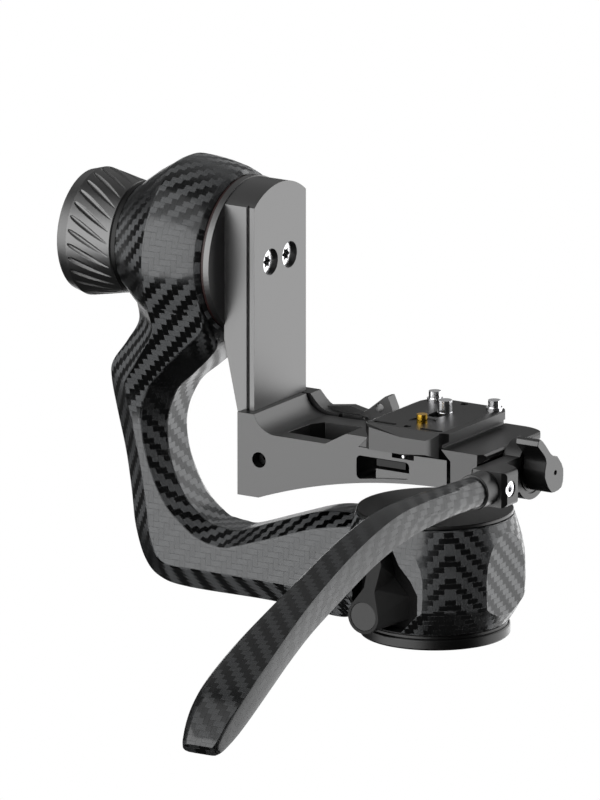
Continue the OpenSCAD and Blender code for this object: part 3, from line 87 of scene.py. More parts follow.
def addNode(tree, kind, settings=None, inputs=None):
    node = tree.nodes.new(kind)
    for key, value in (settings or {}).items():
        setattr(node, key, value)
    fillInputs(tree, node, inputs or {})
    return node


def newMaterial(name):
    material = bpy.data.materials.new(name)
    material.use_nodes = True
    tree = material.node_tree
    return material, tree, tree.nodes["Principled BSDF"]


# bead blasting: the real grit is finer than 0.4 mm, and it is drawn as coarse as it needs to show
blasting = {"grain": 0.4, "detail": 2.0, "strength": 0.12, "depth": 0.05}


def makeMetal(name, colour, roughness, blasted=False):
    material, tree, shader = newMaterial(name)
    fillInputs(tree, shader, {"Base Color": hexColour(colour), "Metallic": 1.0, "Roughness": roughness})
    if blasted:
        where = addNode(tree, "ShaderNodeTexCoord")
        grain = addNode(tree, "ShaderNodeTexNoise", None, {
            "Vector": where.outputs["Object"], "Scale": 1 / (blasting["grain"] * mm),
            "Detail": blasting["detail"]})
        bump = addNode(tree, "ShaderNodeBump", None, {
            "Strength": blasting["strength"], "Distance": blasting["depth"] * mm, "Height": grain})
        fillInputs(tree, shader, {"Normal": bump})
    return material


def makeDull(name, colour, roughness, specular=0.5):
    material, tree, shader = newMaterial(name)
    fillInputs(tree, shader, {
        "Base Color": hexColour(colour), "Roughness": roughness, "Specular IOR Level": specular})
    return material


# 2 x 2 twill: each tow passes over two and under two; tow and depths in mm, gap as a share of a tow
twill = {
    "tow": 2.75, "repeat": 4.0, "over": 1.5,
    "gap": 0.455, "gapShade": 0.8, "gapBump": 0.5, "gapDepth": 0.1,
    "hairAcross": 7.0, "hairAlong": 0.5, "hairDetail": 2.0, "hairFrom": (0.3, 0.7), "hairTo": (0.8, 1.15),
    "quarterTurn": 0.25, "roughness": 0.5, "coatRoughness": 0.13, "coatIor": 2.2,
}


# each tow glints along its own filaments, and the coat mirrors the light on all of them alike
def makeTwill(name, tint, anisotropy, coat):
    material, tree, shader = newMaterial(name)
    calc = "ShaderNodeMath"
    cloth = addNode(tree, "ShaderNodeUVMap", {"uv_map": "weave"})
    split = addNode(tree, "ShaderNodeSeparateXYZ", None, {"Vector": cloth})
    across = addNode(tree, calc, {"operation": "DIVIDE"}, {0: split.outputs["X"], 1: twill["tow"]})
    along = addNode(tree, calc, {"operation": "DIVIDE"}, {0: split.outputs["Y"], 1: twill["tow"]})
    column = addNode(tree, calc, {"operation": "FLOOR"}, {0: across})
    row = addNode(tree, calc, {"operation": "FLOOR"}, {0: along})
    stagger = addNode(tree, calc, {"operation": "SUBTRACT"}, {0: column, 1: row})
    shift = addNode(tree, calc, {"operation": "FLOORED_MODULO"}, {0: stagger, 1: twill["repeat"]})
    warpUp = addNode(tree, calc, {"operation": "LESS_THAN"}, {0: shift, 1: twill["over"]})
    weftUp = addNode(tree, calc, {"operation": "SUBTRACT"}, {0: 1.0, 1: warpUp})
    # how far a point lies from the middle of the tow on top, and the gap beside that tow
    asides = []
    for way, onTop in ((across, warpUp), (along, weftUp)):
        part = addNode(tree, calc, {"operation": "FRACT"}, {0: way})
        offset = addNode(tree, calc, {"operation": "SUBTRACT"}, {0: part, 1: 0.5})
        aside = addNode(tree, calc, {"operation": "ABSOLUTE"}, {0: offset})
        asides.append(addNode(tree, calc, {"operation": "MULTIPLY"}, {0: aside, 1: onTop}))
    edge = addNode(tree, calc, {"operation": "ADD"}, {0: asides[0], 1: asides[1]})
    gap = addNode(tree, calc, {"operation": "GREATER_THAN"}, {0: edge, 1: twill["gap"]})
    # filaments: noise drawn out along each tow
    hairs = []
    for stretch in ((twill["hairAcross"], twill["hairAlong"]), (twill["hairAlong"], twill["hairAcross"])):
        drawn = addNode(tree, "ShaderNodeMapping", None, {"Vector": cloth, "Scale": (*stretch, 1.0)})
        hairs.append(addNode(tree, "ShaderNodeTexNoise", None, {
            "Vector": drawn, "Scale": 1.0, "Detail": twill["hairDetail"]}))
    warpHair, weftHair = hairs
    hair = addNode(tree, "ShaderNodeMix", None, {0: warpUp, 2: weftHair, 3: warpHair})
    hairShade = addNode(tree, "ShaderNodeMapRange", None, {
        "Value": hair, "From Min": twill["hairFrom"][0], "From Max": twill["hairFrom"][1],
        "To Min": twill["hairTo"][0], "To Max": twill["hairTo"][1]})
    gapLoss = addNode(tree, calc, {"operation": "MULTIPLY"}, {0: gap, 1: 1 - twill["gapShade"]})
    gapShade = addNode(tree, calc, {"operation": "SUBTRACT"}, {0: 1.0, 1: gapLoss})
    shade = addNode(tree, calc, {"operation": "MULTIPLY"}, {0: hairShade, 1: gapShade})
    grey = addNode(tree, "ShaderNodeCombineColor", None, {0: shade, 1: shade, 2: shade})
    colour = addNode(
        tree, "ShaderNodeMix", {"data_type": "RGBA", "blend_type": "MULTIPLY"},
        {0: 1.0, 6: hexColour(tint), 7: grey})
    raised = addNode(tree, calc, {"operation": "SUBTRACT"}, {0: 1.0, 1: gap})
    bump = addNode(tree, "ShaderNodeBump", None, {
        "Strength": twill["gapBump"], "Distance": twill["gapDepth"] * mm, "Height": raised})
    tangent = addNode(tree, "ShaderNodeTangent", {"direction_type": "UV_MAP", "uv_map": "weave"})
    turn = addNode(tree, calc, {"operation": "MULTIPLY"}, {0: weftUp, 1: twill["quarterTurn"]})
    fillInputs(tree, shader, {
        "Base Color": colour.outputs[2], "Metallic": 1.0, "Roughness": twill["roughness"], "Normal": bump,
        "Anisotropic": anisotropy, "Anisotropic Rotation": turn, "Tangent": tangent,
        "Coat Weight": coat, "Coat Roughness": twill["coatRoughness"], "Coat IOR": twill["coatIor"],
        "Coat Normal": bump})
    return material


# carbon cloth in resin: the frame has a thin satin coat, the blade a darker and glossier one
carbon = makeTwill("satinTwillCarbon", "#4e4f50", 0.95, 0.17)
bladeCarbon = makeTwill("glossTwillCarbon", "#343536", 0.75, 0.24)
# milled aluminium, bead blasted and anodised: an even satin with a faint grain, from grey to deep black
blackAnodised = makeMetal("blackAnodisedAluminium", "#4c4c4c", 0.4, True)
greyAnodised = makeMetal("greyAnodisedAluminium", "#565656", 0.4, True)
# the deep black colours the nuts, the hub collar and the stop button, and it is also painted shade: it
# darkens the screw sunk in the rail clamp's hole and the floor of each screw's key
darkAnodisedAndShade = makeMetal("deepBlackAnodisedAndPaintedShade", "#2c2c2c", 0.42, True)
railAnodised = makeMetal("satinGreyAnodisedAluminium", "#686868", 0.4, True)
lockAnodised = makeMetal("darkGreyAnodisedAluminium", "#3a3a3a", 0.4, True)
# bare milled aluminium: pale grey with a soft shine
machined = makeMetal("machinedAluminium", "#9a9a9c", 0.35)
# lathe-turned steel: a little brighter, with a tighter shine
turnedSteel = makeMetal("turnedSteel", "#a8a8aa", 0.28)
# polished stainless screws: bright, close to a mirror
polishedSteel = makeMetal("polishedSteel", "#e8e8ea", 0.2)
# turned brass: a warm gold glint
brass = makeMetal("brightBrass", "#e0b23c", 0.25)
# dyed rubber: dark, with a soft low shine
sealRed = makeDull("darkRedSeal", "#240b09", 0.5)
sealBlack = makeDull("blackRubberSeal", "#0b0b0c", 0.6)
# painted shade: the walls and floor of the lock's pocket are drawn nearly black and without gloss, as the
# shade deep inside it
paintedPocketShade = makeDull("paintedShadeCarbon", "#121212", 0.6, 0.06)
# satin black paint: even and dark, with hardly a highlight
leverPaint = makeDull("satinBlackPaint", "#2f2f2f", 0.5, 0.06)
# pressed friction lining: dull brown
lining = makeDull("frictionLining", "#8a6b45", 0.7)

slotMaterials = {
    "carbon": carbon, "anodised": blackAnodised, "anodised_grey": greyAnodised, "alu": machined,
    "steel": turnedSteel, "screw_steel": polishedSteel, "brass": brass, "seal_red": sealRed,
    "seal_black": sealBlack, "friction": lining,
}
for name, node in nodes.items():
    node.data.materials.clear()
    node.data.materials.append(slotMaterials[slotOf[name]])
nodes["tilt_drag_knob"].data.materials[0] = railAnodised
# rail_clamp_screw gets the deep black as painted shade, for the shade of the hole it sits in; the others
# take it as their own colour
for name in ("knob_nut", "hub_collar", "spindle_nut", "rail_clamp_screw", "pan_lock_lever"):
    nodes[name].data.materials[0] = darkAnodisedAndShade
print("stage: materials made")


def newPiece(name, mesh):
    piece = bpy.data.objects.new(name, mesh)
    bpy.context.scene.collection.objects.link(piece)
    return piece


# takes points in mm
def newMesh(name, points, faces):
    mesh = bpy.data.meshes.new(name)
    mesh.from_pydata([Vector(p) * mm for p in points], [], faces)
    return mesh


def smoothFaces(mesh, sharpAngle):
    for polygon in mesh.polygons:
        polygon.use_smooth = True
    mesh.set_sharp_from_angle(angle=math.radians(sharpAngle))


def pointOutwards(mesh):
    work = bmesh.new()
    work.from_mesh(mesh)
    bmesh.ops.recalc_face_normals(work, faces=work.faces)
    work.to_mesh(mesh)
    work.free()


# rounds the edges that are sharper than an angle in degrees
def roundEdges(piece, width, fromAngle, segments=2):
    bevel = piece.modifiers.new("edges", "BEVEL")
    bevel.width = width * mm
    bevel.segments = segments
    bevel.limit_method = "ANGLE"
    bevel.angle_limit = math.radians(fromAngle)


# turns what the modifiers make into the piece's own plain mesh
def keepPlainMesh(piece):
    view = bpy.context.evaluated_depsgraph_get()
    shaped = piece.evaluated_get(view)
    plain = bpy.data.meshes.new_from_object(shaped, preserve_all_data_layers=True, depsgraph=view)
    piece.modifiers.clear()
    piece.data = plain


# quads between rings of points, then a flat face on the first ring and one on the last
def ringFaces(rings, sides):
    faces = []
    for i in range(rings - 1):
        for j in range(sides):
            k = (j + 1) % sides
            faces.append((i * sides + j, i * sides + k, (i + 1) * sides + k, (i + 1) * sides + j))
    faces.append(tuple(reversed(range(sides))))
    faces.append(tuple((rings - 1) * sides + j for j in range(sides)))
    return faces


# milled parts from the frame: doubles merged, flat faces joined, edges rounded; mm and degrees
softening = {"merge": 0.002, "flat": 0.8, "sharp": 28, "roundFrom": 32, "weight": 100}
softEdges = {
    "cradle_arm": (0.35, greyAnodised), "swing_arm": (0.35, railAnodised),
    "moving_jaw": (0.4, blackAnodised), "quick_release_plate": (0.25, blackAnodised),
    "handle_mount": (0.35, blackAnodised), "clamp_lever": (0.5, greyAnodised),
    "handle_collar": (0.4, blackAnodised), "pan_lock_cover": (0.2, lockAnodised),
    "pan_lock_lever": (0.5, leverPaint), "base_flange": (0.2, lockAnodised),
    "pan_cap": (0.2, blackAnodised), "stop_button": (0.2, darkAnodisedAndShade),
}


def soften(name, width, material):
    mesh = nodes[name].data.copy()
    work = bmesh.new()
    work.from_mesh(mesh)
    bmesh.ops.remove_doubles(work, verts=work.verts, dist=softening["merge"] * mm)
    bmesh.ops.dissolve_limit(
        work, angle_limit=math.radians(softening["flat"]), verts=work.verts, edges=work.edges)
    work.to_mesh(mesh)
    work.free()
    mesh.materials.clear()
    mesh.materials.append(material)
    smoothFaces(mesh, softening["sharp"])
    piece = newPiece(name + ".dressed", mesh)
    roundEdges(piece, width, softening["roundFrom"])
    even = piece.modifiers.new("normals", "WEIGHTED_NORMAL")
    even.weight = softening["weight"]
    even.keep_sharp = True
    body = nodes[name]["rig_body"]
    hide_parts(name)
    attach(piece, body)


for name, (width, material) in softEdges.items():
    soften(name, width, material)
print("stage: metal parts dressed")


# a Geometry Nodes tree with a named input for each size
def newTree(name, sizes):
    tree = bpy.data.node_groups.new(name, "GeometryNodeTree")
    tree.interface.new_socket("Geometry", in_out="INPUT", socket_type="NodeSocketGeometry")
    for label, value in sizes.items():
        kind = "NodeSocketInt" if isinstance(value, int) else "NodeSocketFloat"
        tree.interface.new_socket(label, in_out="INPUT", socket_type=kind)
    tree.interface.new_socket("Geometry", in_out="OUTPUT", socket_type="NodeSocketGeometry")
    return tree, addNode(tree, "NodeGroupInput").outputs


# runs a tree on a piece and keeps the plain mesh
def runTree(piece, tree, sizes):
    modifier = piece.modifiers.new(tree.name, "NODES")
    modifier.node_group = tree
    for socket in tree.interface.items_tree:
        if socket.in_out == "INPUT" and socket.name in sizes:
            modifier[socket.identifier] = sizes[socket.name]
    keepPlainMesh(piece)


# countersunk screws with a six-lobe key; radii and depths in mm
lobeScrew = {
    "count": 2, "spacing": 16.0, "sides": 72, "head": 6.0, "shank": 3.0, "sharp": 30,
    "rim": 0.25, "rimFall": 0.05, "rimRound": 0.3,
    "recess": 2.6, "lobe": 2.35, "lobes": 6, "lobeDepth": 0.42, "chamfer": 0.12,
}


# sets the given screw out in a row along y, the same way to both sides of the middle
def screwRowTree(sizes):
    tree, given = newTree("screwRow", sizes)
    calc = "ShaderNodeMath"
    gaps = addNode(tree, calc, {"operation": "SUBTRACT"}, {0: given["Count"], 1: 1.0})
    length = addNode(tree, calc, {"operation": "MULTIPLY"}, {0: gaps, 1: given["Spacing"]})
    first = addNode(tree, calc, {"operation": "MULTIPLY"}, {0: length, 1: -0.5})
    start = addNode(tree, "ShaderNodeCombineXYZ", None, {"Y": first})
    step = addNode(tree, "ShaderNodeCombineXYZ", None, {"Y": given["Spacing"]})
    row = addNode(
        tree, "GeometryNodeMeshLine", {"mode": "OFFSET", "count_mode": "TOTAL"},
        {"Count": given["Count"], "Start Location": start, "Offset": step})
    screws = addNode(tree, "GeometryNodeInstanceOnPoints", None, {
        "Points": row, "Instance": given["Geometry"]})
    whole = addNode(tree, "GeometryNodeRealizeInstances", None, {"Geometry": screws})
    index = addNode(tree, "GeometryNodeInputMaterialIndex")
    outside = addNode(tree, "FunctionNodeBooleanMath", {"operation": "NOT"}, {0: index})
    steel = addNode(tree, "GeometryNodeSetMaterial", None, {
        "Geometry": whole, "Selection": outside, "Material": polishedSteel})
    addNode(tree, "NodeGroupOutput", None, {0: steel})
    return tree


def makeLobeScrews():
    screw = lobeScrew
    low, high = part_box("arm_screws")
    tip, face = low[0] / mm, high[0] / mm
    rings = [  # x, radius, and 1 where the ring follows the lobes
        (tip, screw["shank"], 0),
        (face - screw["head"] + screw["shank"], screw["shank"], 0),
        (face - screw["rim"], screw["head"] - screw["rimFall"], 0),
        (face, screw["head"] - screw["rimRound"], 0),
        (face, screw["lobe"] + screw["chamfer"], 1),
        (face - screw["chamfer"], screw["lobe"], 1),
        (face - screw["recess"], screw["lobe"], 1),
    ]
    points = []
    for x, radius, lobed in rings:
        for i in range(screw["sides"]):
            t = 2 * math.pi * i / screw["sides"]
            r = radius + lobed * screw["lobeDepth"] * math.cos(screw["lobes"] * t)
            points.append((x, r * math.cos(t), tiltZ + r * math.sin(t)))
    mesh = newMesh("lobeScrew", points, ringFaces(len(rings), screw["sides"]))
    pointOutwards(mesh)
    mesh.materials.append(polishedSteel)
    # the second material is painted shade: the floor of each key is drawn deep black, as the shade in the
    # recess
    mesh.materials.append(darkAnodisedAndShade)
    mesh.polygons[len(mesh.polygons) - 1].material_index = 1  # the key's floor
    piece = newPiece("lobeScrews", mesh)
    sizes = {"Count": screw["count"], "Spacing": screw["spacing"] * mm}
    runTree(piece, screwRowTree(sizes), sizes)
    smoothFaces(piece.data, screw["sharp"])
    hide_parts("arm_screws")
    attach(piece, "tilt")


makeLobeScrews()

# drag knob: a shallow cone behind a plain band, with grooves that slant down toward the hub
knob = {
    "front": [(23.2, 0.0), (27.0, 0.3), (27.6, 0.8)],  # radius, height
    "band": 29.1, "neck": 25.2, "coneStart": 6.2, "coneEnd": 26.5, "length": 27.5, "round": 1.0,
    "bore": 9.0, "wall": 4.0, "sides": 720, "rows": 50, "sharp": 14,
    "grooves": 28, "halfWidth": 1.45, "depth": 0.85, "slant": 27.5, "first": 6.9, "last": 26.2,
    "fullness": 2.1, "opening": 0.4, "closing": 0.8,  # how a groove widens and narrows again
}


# presses grooves into a plain turned shape round the tilt axis
def grooveTree(sizes):
    tree, given = newTree("slantedGrooves", sizes)
    calc = "ShaderNodeMath"
    place = addNode(tree, "ShaderNodeSeparateXYZ", None, {0: addNode(tree, "GeometryNodeInputPosition")})
    height = addNode(tree, calc, {"operation": "SUBTRACT"}, {0: place.outputs["X"], 1: given["First"]})
    towardFront = addNode(tree, calc, {"operation": "MULTIPLY"}, {0: place.outputs["Y"], 1: -1.0})
    upward = addNode(tree, calc, {"operation": "SUBTRACT"}, {0: place.outputs["Z"], 1: given["Axis"]})
    angle = addNode(tree, calc, {"operation": "ARCTAN2"}, {0: upward, 1: towardFront})
    spoke = addNode(tree, "ShaderNodeCombineXYZ", None, {"Y": place.outputs["Y"], "Z": upward})
    outward = addNode(tree, "ShaderNodeVectorMath", {"operation": "NORMALIZE"}, {0: spoke})
    radius = addNode(tree, "ShaderNodeVectorMath", {"operation": "LENGTH"}, {0: spoke}).outputs["Value"]
    # along a groove: 0 at its start and end, widest soon after the start
    gone = addNode(tree, calc, {"operation": "DIVIDE", "use_clamp": True}, {0: height, 1: given["Run"]})
    left = addNode(tree, calc, {"operation": "SUBTRACT"}, {0: 1.0, 1: gone})
    opening = addNode(tree, calc, {"operation": "POWER"}, {0: gone, 1: knob["opening"]})
    closing = addNode(tree, calc, {"operation": "POWER"}, {0: left, 1: knob["closing"]})
    outline = addNode(tree, calc, {"operation": "MULTIPLY"}, {0: opening, 1: closing})
    lens = addNode(tree, calc, {"operation": "MULTIPLY"}, {0: outline, 1: knob["fullness"]})
    # round the knob: the distance to the nearest groove's slanted middle line
    steepness = addNode(tree, calc, {"operation": "TANGENT"}, {0: given["Slant"]})
    slipped = addNode(tree, calc, {"operation": "MULTIPLY"}, {0: steepness, 1: height})
    twist = addNode(tree, calc, {"operation": "DIVIDE"}, {0: slipped, 1: radius})
    straight = addNode(tree, calc, {"operation": "ADD"}, {0: angle, 1: twist})
    halfPitch = addNode(tree, calc, {"operation": "DIVIDE"}, {0: math.pi, 1: given["Grooves"]})
    away = addNode(tree, calc, {"operation": "PINGPONG"}, {0: straight, 1: halfPitch})
    reach = addNode(tree, calc, {"operation": "MULTIPLY"}, {0: away, 1: radius})
    width = addNode(tree, calc, {"operation": "MULTIPLY"}, {0: given["Half Width"], 1: lens})
    safeWidth = addNode(tree, calc, {"operation": "MAXIMUM"}, {0: width, 1: 0.001 * mm})
    across = addNode(tree, calc, {"operation": "DIVIDE"}, {0: reach, 1: safeWidth})
    square = addNode(tree, calc, {"operation": "MULTIPLY"}, {0: across, 1: across})
    hollow = addNode(tree, calc, {"operation": "SUBTRACT", "use_clamp": True}, {0: 1.0, 1: square})
    deepest = addNode(tree, calc, {"operation": "MULTIPLY"}, {0: given["Depth"], 1: lens})
    depth = addNode(tree, calc, {"operation": "MULTIPLY"}, {0: deepest, 1: hollow})
    inward = addNode(tree, calc, {"operation": "MULTIPLY"}, {0: depth, 1: -1.0})
    press = addNode(tree, "ShaderNodeVectorMath", {"operation": "SCALE"}, {0: outward, "Scale": inward})
    grooved = addNode(tree, "GeometryNodeSetPosition", None, {
        "Geometry": given["Geometry"], "Offset": press})
    whole = addNode(tree, "GeometryNodeRealizeInstances", None, {"Geometry": grooved})
    finished = addNode(tree, "GeometryNodeSetMaterial", None, {
        "Geometry": whole, "Material": railAnodised})
    addNode(tree, "NodeGroupOutput", None, {0: finished})
    return tree


def makeKnob():
    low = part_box("tilt_drag_knob")[0]
    start = low[0] / mm
    run = knob["last"] - knob["first"]
    taper = (knob["band"] - knob["neck"]) / (knob["coneEnd"] - knob["coneStart"])
    heights = [knob["first"] + run * i / knob["rows"] for i in range(knob["rows"] + 1)]
    profile = knob["front"] + [(knob["band"], knob["coneStart"])]
    profile += [(knob["band"] - taper * (h - knob["coneStart"]), h) for h in heights]
    profile += [(knob["neck"], knob["coneEnd"]), (knob["neck"] - knob["round"], knob["length"])]
    profile += [(knob["bore"], knob["length"]), (knob["bore"], knob["wall"])]
    points = []
    for radius, h in profile:
        for i in range(knob["sides"]):
            angle = 2 * math.pi * i / knob["sides"]
            points.append((start + h, -radius * math.cos(angle), tiltZ + radius * math.sin(angle)))
    mesh = newMesh("groovedKnob", points, ringFaces(len(profile), knob["sides"]))
    pointOutwards(mesh)
    piece = newPiece("groovedKnob", mesh)
    sizes = {
        "Grooves": knob["grooves"], "Half Width": knob["halfWidth"] * mm, "Depth": knob["depth"] * mm,
        "Slant": math.radians(knob["slant"]), "First": (start + knob["first"]) * mm, "Run": run * mm,
        "Axis": tiltZ * mm,
    }
    runTree(piece, grooveTree(sizes), sizes)
    smoothFaces(piece.data, knob["sharp"])
    body = nodes["tilt_drag_knob"]["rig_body"]
    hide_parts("tilt_drag_knob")
    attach(piece, body)


makeKnob()
print("stage: screws and knob made")


# a piece of moulded cloth: weave holds one (u, v) in mm for each corner of each face
def wovenPiece(name, points, faces, weave, sharpAngle):
    mesh = newMesh(name, points, faces)
    layer = mesh.uv_layers.new(name="weave")
    corners = [uv for uvs in weave for uv in uvs]
    for corner, uv in enumerate(corners):
        layer.data[corner].uv = uv
    mesh.materials.append(carbon)
    smoothFaces(mesh, sharpAngle)
    return newPiece(name, mesh)


# a smooth curve through four values, from the second to the third as t goes from 0 to 1
def between(p, q, r, s, t):
    square = (2 * p - 5 * q + 4 * r - s) * t * t
    cube = (3 * q - p - 3 * r + s) * t**3
    return (2 * q + (r - p) * t + square + cube) / 2


# rows of numbers with smooth steps put in between them
def spline(rows, steps):
    out = []
    last = len(rows) - 1
    for i in range(last):
        four = (rows[max(i - 1, 0)], rows[i], rows[i + 1], rows[min(i + 2, last)])
        for k in range(steps):
            out.append([between(*values, k / steps) for values in zip(*four)])
    out.append(list(rows[last]))
    return out


# the arm from hub to housing; each station has x, z and half depth of the outer face,
# of the front face's two edges and of the inner face
arm = {
    "steps": 8, "sharp": 30, "rounding": 0.7, "roundFrom": 22,
    "stations": [
        (-148, 157, 6, -128, 157, 34, -106, 157, 31, -106, 157, 20),
        (-152, 148, 9, -129.3, 148, 38.6, -103.4, 148, 34, -104, 148, 22),
        (-152, 136, 9, -129, 137, 35.2, -103, 137, 30.8, -103, 131, 22),
        (-151.5, 125, 7.5, -129.5, 127.5, 31.9, -105, 129.5, 29, -103, 122, 19),
        (-157.8, 114.5, 7.5, -139.5, 113.5, 27.2, -117.5, 118.5, 26.6, -110, 114, 15),
        (-166.7, 103.3, 5.5, -148, 102, 23.2, -131, 106, 23.2, -120, 105, 12),
        (-168, 95, 4.5, -151, 95, 20, -139.9, 95.5, 20, -130, 95.5, 10),
        (-165, 81, 4.5, -149, 79.5, 17.7, -144.1, 80.5, 17.7, -135.7, 80, 8.5),
        (-160.4, 62.5, 4.5, -145.2, 62.5, 17.5, -140.9, 63, 17.5, -134, 62.5, 8.5),
        (-157.5, 44.7, 4.5, -142, 44.5, 17.5, -132, 44.5, 17.5, -126, 46, 8.5),
        (-155.3, 28, 4.5, -139.8, 28.5, 17.5, -120, 33.7, 17.5, -115, 37, 8.5),
        (-150.2, 13.6, 4.5, -136, 19.2, 17.5, -113, 30, 17.5, -110, 35.6, 8.5),
        (-142, 6.2, 4.5, -129.5, 16, 17.5, -106.3, 28.5, 17.5, -104.3, 35, 8.5),
        (-126.5, 3.6, 4.5, -117, 15.8, 17.5, -99, 28.5, 17.5, -97, 35.2, 8.5),
        (-84, 3.6, 5, -82, 15.4, 17.5, -77, 35.4, 17.5, -77, 42.2, 8.5),
        (-55, 3.6, 11, -55, 15, 17.5, -55, 43, 17.5, -55, 49.6, 8.5),
        (-39, 4.2, 14, -39, 15, 17.5, -39, 46.5, 17.5, -39, 51.5, 8.5),
        (-30, 8.5, 16, -30, 15, 17.5, -30, 48, 17.5, -30, 52, 8.5),
    ],
}


def armRing(s):
    front = [(s[i], s[i + 2], s[i + 1]) for i in (0, 3, 6, 9)]
    return [(x, -y, z) for x, y, z in front] + [(x, y, z) for x, y, z in reversed(front)]


# how far along the piece each ring's middle lies
def ringTravel(rings):
    middles = [sum((Vector(p) for p in ring), Vector()) / len(ring) for ring in rings]
    travel = [0.0]
    for a, b in zip(middles, middles[1:]):
        travel.append(travel[-1] + (b - a).length)
    return travel


def makeArm():
    rings = [armRing(s) for s in spline(arm["stations"], arm["steps"])]
    size = len(rings[0])
    travel = ringTravel(rings)

    # the cloth lies straight on the front and back faces and folds over their edges
    def weaveAt(strip, ring, corner):
        x, y, z = rings[ring][corner]
        if strip in (1, 5):
            return (x, z)
        if strip in (0, 6):
            edge = Vector(rings[ring][1 if strip == 0 else 6])
            return (edge.x - (Vector((x, y, z)) - edge).length, z)
        if strip == 7:
            return (y, travel[ring])
        edge = Vector(rings[ring][2 if strip < 4 else 5])
        return ((Vector((x, y, z)) - edge).length if strip in (2, 4) else y, travel[ring])

    faces, weave = [], []
    for i in range(len(rings) - 1):
        for j in range(size):
            k = (j + 1) % size
            faces.append((i * size + j, (i + 1) * size + j, (i + 1) * size + k, i * size + k))
            weave.append([weaveAt(j, i, j), weaveAt(j, i + 1, j), weaveAt(j, i + 1, k), weaveAt(j, i, k)])
    for end, order in ((0, range(size)), (len(rings) - 1, range(size - 1, -1, -1))):
        faces.append(tuple(end * size + j for j in order))
        weave.append([(0.0, 0.0)] * size)
    points = [p for ring in rings for p in ring]
    return wovenPiece("carbonArm", points, faces, weave, arm["sharp"])


armPiece = makeArm()
roundEdges(armPiece, arm["rounding"], arm["roundFrom"])
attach(armPiece, "pan")
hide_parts("carbon_frame")


# a facet is as wide at each height as the radius there allows, so the columns of points near it
# move until one of them stands on its edge; reach says how far from its middle they still move
def onFacet(radius, angle, facets):
    widest, reach = facets["edge"], facets["reach"]
    for facet in facets["angles"]:
        away = abs(angle - facet)
        if away < reach:
            edge = max(math.acos(min(1.0, facets["distance"] / radius)), facets["narrowest"])
            if away <= widest + facets["slack"]:
                near = away * edge / widest
                if radius > facets["distance"]:
                    radius = facets["distance"] / math.cos(near)
            else:
                near = edge + (away - widest) * (reach - edge) / (reach - widest)
            return radius, facet + math.copysign(near, angle - facet)
    return radius, angle


# a turned shape: (radius, height) rows round an axis, cut flat where facets ask for it
def turned(profile, angles, place, weaveOf, facets=None, closed=False):
    rows, count = len(profile), len(angles)
    points, turns = [], []
    for radius, height in profile:
        for angle in angles:
            r, turn = onFacet(radius, angle, facets) if facets else (radius, angle)
            turns.append(turn)
            points.append(place(r, turn, height))
    length = [0.0]
    for (r0, h0), (r1, h1) in zip(profile, profile[1:] + profile[:1]):
        length.append(length[-1] + math.hypot(r1 - r0, h1 - h0))
    faces, weave = [], []
    for i in range(rows if closed else rows - 1):
        above = (i + 1) % rows
        for j in range(count):
            k = (j + 1) % count
            whole = 0 if k else 2 * math.pi
            middle = (angles[j] + angles[k] + whole) / 2
            face = (i * count + j, i * count + k, above * count + k, above * count + j)
            gone = (length[i], length[i], length[i + 1], length[i + 1])
            extra = (0, whole, whole, 0)
            faces.append(face)
            weave.append([
                weaveOf(points[p], turns[p] + more, way, middle)
                for p, more, way in zip(face, extra, gone)
            ])
    return points, faces, weave


# the hub of the tilt axis, with the cloth wound round it
hub = {
    "sides": 128, "clothRadius": 39.5, "sharp": 24,
    "rows": [  # radius, x
        (6, -153), (25.3, -153), (25.5, -152.4), (29.8, -147), (34.2, -141), (37.5, -135.6), (40.3, -131.3),
        (41.5, -128.6), (41.3, -124), (40.5, -116), (39, -108.5), (37.4, -104), (37, -103.2), (35.5, -101.5),
        (31, -101.5)],
}


def hubPlace(r, angle, height):
    return (height, r * math.cos(angle), tiltZ + r * math.sin(angle))


def hubWeave(point, angle, length, middle):
    return (length, -angle * hub["clothRadius"])


hubAngles = [2 * math.pi * i / hub["sides"] for i in range(hub["sides"])]
points, faces, weave = turned(hub["rows"], hubAngles, hubPlace, hubWeave)
hubPiece = wovenPiece("carbonHub", points, faces, weave, hub["sharp"])
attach(hubPiece, "pan")

# the pan housing: two lengths of cloth meet in a seam between the front facet and the right one
housing = {
    "sides": 240, "facet": 37.0, "widest": 40.4, "seam": -48.5, "cloth": 1.1, "clothRadius": 39.0,
    "rowStep": 1.2, "denseFrom": 30, "edgeRoom": 0.01, "sharp": 12,
    "rows": [  # radius, height
        (24, 7), (33.3, 7), (33.6, 7.4), (36.7, 12.4), (37.0, 12.93), (39.9, 18.0), (40.2, 19.0),
        (40.4, 25.5), (40.4, 33.0), (39.95, 38.5), (38.9, 44.4), (37.3, 50.0), (37.0, 50.92),
        (35.6, 55.2), (35.4, 55.5), (24, 55.5)],
}
facets = {  # right, front and rear; angles in radians
    "angles": (0.0, -math.pi / 2, math.pi / 2), "distance": housing["facet"],
    "edge": math.acos(housing["facet"] / housing["widest"]), "reach": math.pi / 4,
    "narrowest": 0.008, "slack": 0.0001,
}


def housingAngles():
    sides = housing["sides"]
    evenly = [round(2 * math.pi * (i + 0.5) / sides - math.pi, 5) for i in range(sides)]
    room = facets["edge"] + housing["edgeRoom"]
    angles = [turn for turn in evenly if min(abs(turn - f) for f in facets["angles"]) > room]
    return sorted(angles + [f + s * facets["edge"] for f in facets["angles"] for s in (-1, 0, 1)])


def housingRows():
    dense = []
    rows = housing["rows"]
    for (r0, h0), (r1, h1) in zip(rows, rows[1:]):
        outside = housing["denseFrom"] < min(r0, r1)
        parts = max(1, round(math.hypot(r1 - r0, h1 - h0) / housing["rowStep"])) if outside else 1
        dense += [(r0 + (r1 - r0) * k / parts, h0 + (h1 - h0) * k / parts) for k in range(parts)]
    return dense + [rows[-1]]


def housingPlace(r, angle, height):
    return (r * math.cos(angle), r * math.sin(angle), height)


